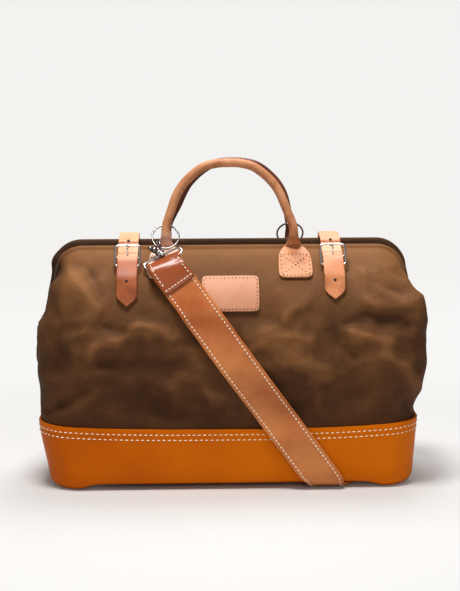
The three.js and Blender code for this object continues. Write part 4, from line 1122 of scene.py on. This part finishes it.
def rounded_frame(width, height, corner, bow=0.0, level=0.0, steps=5):
    """Points round a rectangle with round corners, its long sides bowed outwards."""
    points = []
    for quarter in range(4):
        for step in range(steps + 1):
            turn = math.pi / 2 * (quarter + step / steps)
            within = turn + weld_gap if step == 0 else turn - weld_gap
            x = math.copysign(width / 2 - corner, math.cos(within))
            y = math.copysign(height / 2 - corner, math.sin(within))
            points.append((x + corner * math.cos(turn), y + corner * math.sin(turn), level))
    whole = []
    for start, end in zip(points, points[1:] + points[:1]):
        whole.append(start)
        if math.hypot(end[0] - start[0], end[1] - start[1]) > corner * 1.5:
            for share in (0.25, 0.5, 0.75):
                push = bow * math.sin(math.pi * share)
                x, y = mixed(start[0], end[0], share), mixed(start[1], end[1], share)
                whole.append((x + math.copysign(push, x) * (abs(start[0] - end[0]) < weld_gap),
                    y + math.copysign(push, y) * (abs(start[1] - end[1]) < weld_gap), level))
    return whole


def metal(name, colour, roughness, scratch=0.06):
    """Polished or blackened metal with fine handling marks."""
    finish = Finish(name, Metallic=1.0)
    place = finish.place()
    marks = finish.speckle(place, 240.0, 4.0, 0.7)
    cloud = finish.speckle(place, 30.0)
    hue = finish.ramp(cloud, (0.3, tuple(c * 0.86 for c in colour[:3]) + (1,)), (0.7, colour))
    rough = marks * scratch + cloud * scratch + (roughness - scratch)
    return finish.wear(Base_Color=hue, Roughness=rough, Normal=finish.bump(marks, 0.00004))


nickel = metal("bright_nickel", painted(226, 224, 220), 0.16)
dark_metal = metal("gun_metal", painted(120, 114, 110), 0.22)
steel = metal("dull_steel", painted(132, 129, 124), 0.38)
# Painted shade: the holes in the closure straps are drawn as dark marks.
punched = Finish("hole_shade", Base_Color=painted(54, 28, 16), Roughness=0.8)
pale_band = painted(204, 138, 102), painted(226, 162, 124)
# Painted shade: the tails below the buckles are given these darker colours.
tail_shade_colours = {"left": (painted(128, 60, 28), painted(160, 84, 44)),
    "right": (painted(176, 104, 62), painted(206, 132, 86))}
tail_shade_from, tail_shade_to = 0.078, 0.090


def closure_finish(name, tail_dark, tail_light):
    """Pale leather, painted darker from the buckle down as shade. UV runs round the band and along it."""
    finish = Finish(name, Specular_IOR_Level=0.25)
    place = finish.place()
    clouds = finish.speckle(place, 45.0, 4.0)
    pores = finish.speckle(place, pore_scale, 2.0)
    along = finish.axis(finish.place(uv=True), "Y")
    pale = finish.ramp(clouds, (0.35, pale_band[0]), (0.65, pale_band[1]))
    tail = finish.ramp(clouds, (0.35, tail_dark), (0.65, tail_light))
    share = finish.between(along + clouds * 0.006, tail_shade_from, tail_shade_to)
    return finish.wear(Base_Color=finish.blended(share, pale, tail), Roughness=clouds * 0.2 + 0.34,
        Normal=finish.bump(pores, 0.00012))


def closure_route(word):
    """The middle line of a closure strap, over the rim and through its buckle to its tip."""
    line = [on_hem(half, turn, closure_slack * share)
        for half, slacks in ((back_half, back_slacks), (front_half, front_slacks)) for turn, share in slacks]
    down = [(buckle_middle + rise, through_level + level) for rise, level in through_stops]
    low = down[-1][0]
    down += [(mixed(low, closure_tips[word], share),
        mixed(through_level, hug_level, eased(share / hug_share))) for share in tail_shares]
    return smoothed(line + [front_half.on_canvas(0, z, level)[0] for z, level in down], closure_steps)


def closure_rings(line, x):
    """Cross-sections of a closure strap, narrowed to a point at its tip."""
    length = sum((b - a).length for a, b in zip(line, line[1:]))
    rings, gone = [], 0.0
    for k, point in enumerate(line):
        gone += (point - line[max(k - 1, 0)]).length
        left = min((length - gone) / closure_point, 1)
        width = closure_width / 2 * max(math.sin(left * math.pi / 2), blunt_share)
        rings.append(rounded_ring(point + across * x, across, way_at(line, k).cross(across), width,
            closure_thickness / 2, closure_sides, closure_power))
    return rings


def punched_holes(line, x):
    """Dark marks of painted shade on a closure strap's outer face, at its holes' heights."""
    holes = bmesh.new()
    for z in hole_heights:
        k = min(range(20, closure_steps), key=lambda k: abs(line[k].z - z))
        along = way_at(line, k)
        out = across.cross(along)
        out = out if out.y < 0 else -out
        lump(holes, line[k] + across * x + out * closure_thickness / 2, (across, along, out),
            (hole_size, hole_size, hole_depth), 12, 6)
    return holes


for word, x in closure_places.items():
    line = closure_route(word)
    finish = closure_finish(f"{word}_closure_leather", *tail_shade_colours[word])
    band = kept(lofted(closure_rings(line, x)), f"{word}_closure_band", finish)
    softened(band)
    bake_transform(band)
    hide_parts(f"{word}_closure_strap")
    hole_marks = kept(punched_holes(line, x), f"{word}_closure_holes", punched)
    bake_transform(hole_marks)

    middle, rise, out = front_half.on_canvas(x, buckle_middle)
    middle += out * frame_level
    rise = rise.lerp(Vector((0, 0, 1)), buckle_upright).normalized()
    out = rise.cross(across)
    out = out if out.y < 0 else -out
    middle -= out * frame_level
    inner = [size - 2 * buckle_wire for size in buckle_size]
    rim = framed(rounded_frame(*inner, buckle_corner, buckle_bow, frame_level), middle, across, rise, out)
    reach, bend_level = buckle_size[0] / 2 - buckle_wire, mixed(frame_level, bar_level, 0.6)
    bar = [(-reach, 0, frame_level), (-reach, 0, bend_level), (-reach * 0.9, 0, bar_level), (0, 0, bar_level)]
    bar += [(-along, up, level) for along, up, level in reversed(bar[:-1])]
    bar = smoothed(framed(bar, middle, across, rise, out), bar_steps)
    buckle = kept(joined(swept(rim, buckle_wire, buckle_sides, True),
        swept(bar, buckle_wire * bar_wire_share, buckle_sides)), f"{word}_plated_buckle", nickel)
    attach(buckle, f"{word}_buckle_frame")
    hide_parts(f"{word}_buckle")
    tip = buckle_size[1] / 2 - buckle_wire
    pin = smoothed(framed([(0, start + tip * share, level) for start, share, level in prong_stops],
        middle, across, rise, out), prong_steps)
    prong = kept(swept(pin, lambda share: prong_radius * (1.1 - 0.35 * share), buckle_sides),
        f"{word}_plated_prong", nickel)
    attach(prong, f"{word}_prong_pin")
    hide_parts(f"{word}_prong")

# On the back each closure strap's end, pale vegetable-tanned hide like the rest of it, lies flat under the
# rim and is sewn down to the canvas round its edge with dark thread.
anchor_low, anchor_sewn_high = 0.236, 0.288
anchor_level, anchor_margin = 0.0022, 0.0028
anchor_turns = (66, 50)
anchor_shares = (0, 0.05, 0.12, 0.22, 0.35, 0.5, 0.65, 0.8, 0.9, 1)
anchor_steps, anchor_round, anchor_end_share = 40, 0.004, 0.82
for word, x in closure_places.items():
    line = [on_hem(back_half, turn, 0) for turn in anchor_turns]
    line += [back_half.on_canvas(0, mixed(back_half.rim_z - hem_radius, anchor_low, share), anchor_level)[0]
        for share in anchor_shares]
    line = smoothed(line, anchor_steps)
    rings = []
    for k, point in enumerate(line):
        left = min((point - line[-1]).length / anchor_round + anchor_end_share, 1)
        rings.append(rounded_ring(point + across * x, across, way_at(line, k).cross(across),
            closure_width / 2 * left, closure_thickness / 2, closure_sides, closure_power))
    anchor = kept(lofted(rings), f"{word}_sewn_anchor", pale_leather)
    softened(anchor)
    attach(anchor, "back_frame")
    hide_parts(f"{word}_strap_anchor")
    reach, level = closure_width / 2 - anchor_margin, anchor_level + closure_thickness / 2
    spots = sewn_box(back_half, x - reach, x + reach, anchor_low + anchor_margin, anchor_sewn_high, level,
        hole_pitch)
    anchor_thread = threaded(f"{word}_anchor_stitches", spots, dark_thread, *dark_stitch)
    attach(anchor_thread, "back_frame")

# The shoulder strap clips on with a snap hook at each end. A polished ring hangs round the handle's neck, the
# blackened hook is closed by a sprung lever, and its post turns in the wide polished loop of the strap.
ring_radius, ring_wire = 0.017, 0.0012
ring_tilt = math.radians(56)
ring_steps, ring_sides = 48, 10
ring_middle = {"front": Vector((-0.081, -0.030, 0.313)), "back": Vector((0.081, 0.036, 0.313))}
hook_length = 0.02827
hook_out_way = Vector((0.91754, 0.39274, -0.0623))
hook_mean, hook_wire = 0.0071, 0.0015
claw_turns, lever_turns = range(270, 35, -13), range(14, -47, -6)
thumb_turn, thumb_reach, thumb_size = -44, 1.12, (0.0022, 0.0030, 0.0018)
loop_size, loop_wire, loop_corner = (0.053, 0.015), 0.0015, 0.0045
loop_reach = 0.012
wire_sides, post_sides = 12, 20
boss_stops = ((-0.0019, 0.0034), (-0.0012, 0.0048), (0.0012, 0.0048), (0.0019, 0.0034))
stem_stops = ((loop_reach - 0.0042, 0.0040), (loop_reach - 0.0026, 0.0045), (loop_reach - 0.0023, 0.0020),
    (loop_reach + 0.0020, 0.0020), (loop_reach + 0.0022, 0.0040), (loop_reach + 0.0040, 0.0042),
    (hook_length - hook_mean - 0.0024, 0.0034), (hook_length - hook_mean, 0.0019))
knob_lumps = ((0.66, 0.0, (0.0036, 0.0048, 0.0056)), (0.80, -0.0066, (0.0042, 0.0052, 0.0044)),
    (0.55, -0.0040, (0.0030, 0.0030, 0.0030)), (0.90, -0.0112, (0.0030, 0.0032, 0.0034)))
ring_metal = metal("worn_nickel", painted(132, 128, 122), 0.24)


def spindle(foot, up, stops):
    """A turned post along a way, from its heights and its radius at each."""
    radii = [radius for _, radius in stops]
    line = [foot + up * height for height, _ in stops]
    return swept(line, lambda share: radii[round(share * (len(radii) - 1))], post_sides)


for name, half in halves.items():
    flat_way = turned(half, Vector((1, 0, 0)))
    steep_way = turned(half, Vector((0, math.cos(ring_tilt), math.sin(ring_tilt))))
    circle = [ring_middle[name] + (flat_way * math.cos(turn) + steep_way * math.sin(turn)) * ring_radius
        for turn in (2 * math.pi * k / ring_steps for k in range(ring_steps))]
    ring = kept(swept(circle, ring_wire, ring_sides, True), f"{name}_neck_ring", ring_metal)
    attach(ring, f"{name}_ring_link")
    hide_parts(f"{name}_ring")

    foot, up, wide = loop_bar[name], turned(half, hang_way), turned(half, bar_way)
    inner = [size - 2 * loop_wire for size in loop_size]
    rim = framed(rounded_frame(*inner, loop_corner), foot + up * loop_reach / 2, wide, up, wide.cross(up))
    boss = spindle(foot + up * loop_reach, up, boss_stops)
    loop = kept(joined(swept(rim, loop_wire, wire_sides, True), boss), f"{name}_plated_loop", nickel)
    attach(loop, f"{name}_frame")
    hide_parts(f"{name}_strap_loop")

    out = turned(half, hook_out_way)
    side = up.cross(out)

    def in_hook(turn, reach=1.0):
        """A point round the hook's eye, by its turn in degrees and its reach in mean radii."""
        turn, radius = math.radians(turn), hook_mean * reach
        return foot + side * radius * math.cos(turn) + up * (hook_length + radius * math.sin(turn))

    claw = swept([in_hook(turn) for turn in claw_turns],
        lambda share: hook_wire * (1.35 - 0.45 * abs(share - 0.45)), wire_sides)
    knob = bmesh.new()
    for share, away, sizes in knob_lumps:
        lump(knob, foot + up * (hook_length * share) + out * away, (side, up, out), sizes, 16, 10)
    hook = kept(joined(spindle(foot, up, stem_stops), claw, knob), f"{name}_snap_hook", dark_metal)
    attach(hook, f"{name}_hook_swivel")
    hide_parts(f"{name}_hook")
    lever = swept([in_hook(turn) for turn in lever_turns], lambda share: hook_wire * (0.8 + 0.25 * share),
        wire_sides)
    thumb = bmesh.new()
    lump(thumb, in_hook(thumb_turn, thumb_reach), (side, up, out), thumb_size, 14, 8)
    gate = kept(joined(lever, thumb), f"{name}_snap_lever", dark_metal)
    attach(gate, f"{name}_gate_lever")
    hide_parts(f"{name}_gate")

# Two rows of white thread run round the base just under its top edge. They are sewn right through the leather
# and hold the canvas inside it.
base_rows, base_pitch, base_row_steps = (0.0066, 0.0132), 0.0066, 120
base_stitch = 0.0046, 0.0014, 0.0008
base_spots = []
for drop in base_rows:
    line = []
    for quarter in range(4):
        for step in range(base_row_steps):
            share = step / base_row_steps if quarter % 2 == 0 else 1 - step / base_row_steps
            x, y = plan(share, *base_half(base_height - drop), 0)
            x, y = x * (1 if quarter in (0, 3) else -1), y * (1 if quarter < 2 else -1)
            z = base_top(x, y) - drop
            line.append(Vector((settled(x, z), y, z)))
    for point, way in walked(line + line[:1], base_pitch):
        out = way.cross(Vector((0, 0, 1)))
        out = out if out.dot(Vector((point.x, point.y, 0))) > 0 else -out
        base_spots.append((point, way, out))
base_thread = threaded("base_stitches", base_spots, white_thread, *base_stitch)
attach(base_thread, "bag")

# At each end a tab of dark leather is sewn flat over the canvas seam. It is rounded below and carries the
# steel rivet that the two rims turn on.
hinge_low, hinge_high = 0.150, 0.2
hinge_half_width, hinge_thickness = 0.0155, 0.0018
hinge_gap, hinge_least = 0.0002, 0.02
ray_from, ray_steps, rays_kept = 0.3, (-0.008, -0.004, 0, 0.004, 0.008), 4
hinge_leather = leather("hinge_leather", painted(92, 54, 30), painted(120, 74, 44), 0.5, 0.00012, 20.0)


def end_reach(sign, y, z):
    """How far out the canvas stands at one end, taken over the seam's groove."""
    towards = Vector((-sign, 0, 0))
    hits = [skin.ray_cast(Vector((sign * ray_from, y + step, z)), towards)[0] for skin in skins.values()
        for step in ray_steps]
    return sum(sorted((abs(hit.x) for hit in hits if hit), reverse=True)[:rays_kept]) / rays_kept


def hinge_place(sign, u, v):
    """A place on the tab by its shares across and up, narrowed at the foot to a round end."""
    z = mixed(hinge_low, hinge_high, v)
    drop = max(1 - (z - hinge_low) / hinge_half_width, 0)
    y = (u - 0.5) * 2 * hinge_half_width * math.sqrt(max(1 - drop * drop, hinge_least))
    return Vector((sign * (end_reach(sign, y, z) + hinge_thickness + hinge_gap), y, z))


for word, sign in (("left", -1), ("right", 1)):
    sheet = laid(10, 16, lambda u, v: hinge_place(sign, u, v), faces=Vector((sign, 0, 0)))
    tab = kept(sheet, f"{word}_end_tab", hinge_leather)
    add_modifier(tab, "SOLIDIFY", thickness=hinge_thickness, offset=-1)
    softened(tab)
    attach(tab, "bag")
    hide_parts(f"{word}_hinge_tab")

# A loose sheet of pressed fibre board stiffens the bag's floor. It is cut a little shorter than the base,
# with rounded corners, and lies in it unfixed.
board_size, board_corner = (0.222, 0.068), 0.03
board_low, board_thickness, board_edge = 0.0106, 0.004, 0.001
board_finish = Finish("pressed_board", Roughness=0.85)
fibres = board_finish.speckle(board_finish.place(), 160.0, 4.0)
fibre_colour = board_finish.ramp(fibres, (0.35, painted(84, 64, 48)), (0.65, painted(116, 92, 70)))
board_finish.wear(Base_Color=fibre_colour, Normal=board_finish.bump(fibres, 0.0003))
board = kept(boxed(*board_size, board_low, board_thickness, board_corner), "floor_board", board_finish)
add_modifier(board, "BEVEL", width=board_edge, segments=2)
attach(board, "bag")
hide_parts("base_board")

# What is half hidden keeps its CAD shape: the rims' bent rods in dark enamel, their rivets and washers of
# plain steel, and the leather behind the tabs and under the buckles.
chape_leather = leather("chape_leather", painted(150, 86, 44), painted(184, 112, 64), 0.5, 0.00012, 20.0)
rod_enamel = Finish("rod_enamel", Base_Color=painted(70, 52, 40), Roughness=0.4, Specular_IOR_Level=0.3)
kept_nodes = {
    rod_enamel: ("front_rail", "back_rail"),
    steel: ("left_pivot_rivet", "right_pivot_rivet", "left_pivot_washer", "right_pivot_washer"),
    chape_leather: ("left_chape", "right_chape"),
    pale_leather: ("front_left_tab_backing", "front_right_tab_backing", "back_left_tab_backing",
        "back_right_tab_backing"),
}
for finish, nodes in kept_nodes.items():
    for node in nodes:
        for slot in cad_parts[node].material_slots:
            slot.material = finish.material

sizes = {"cad": cad_box, "visual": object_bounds()}
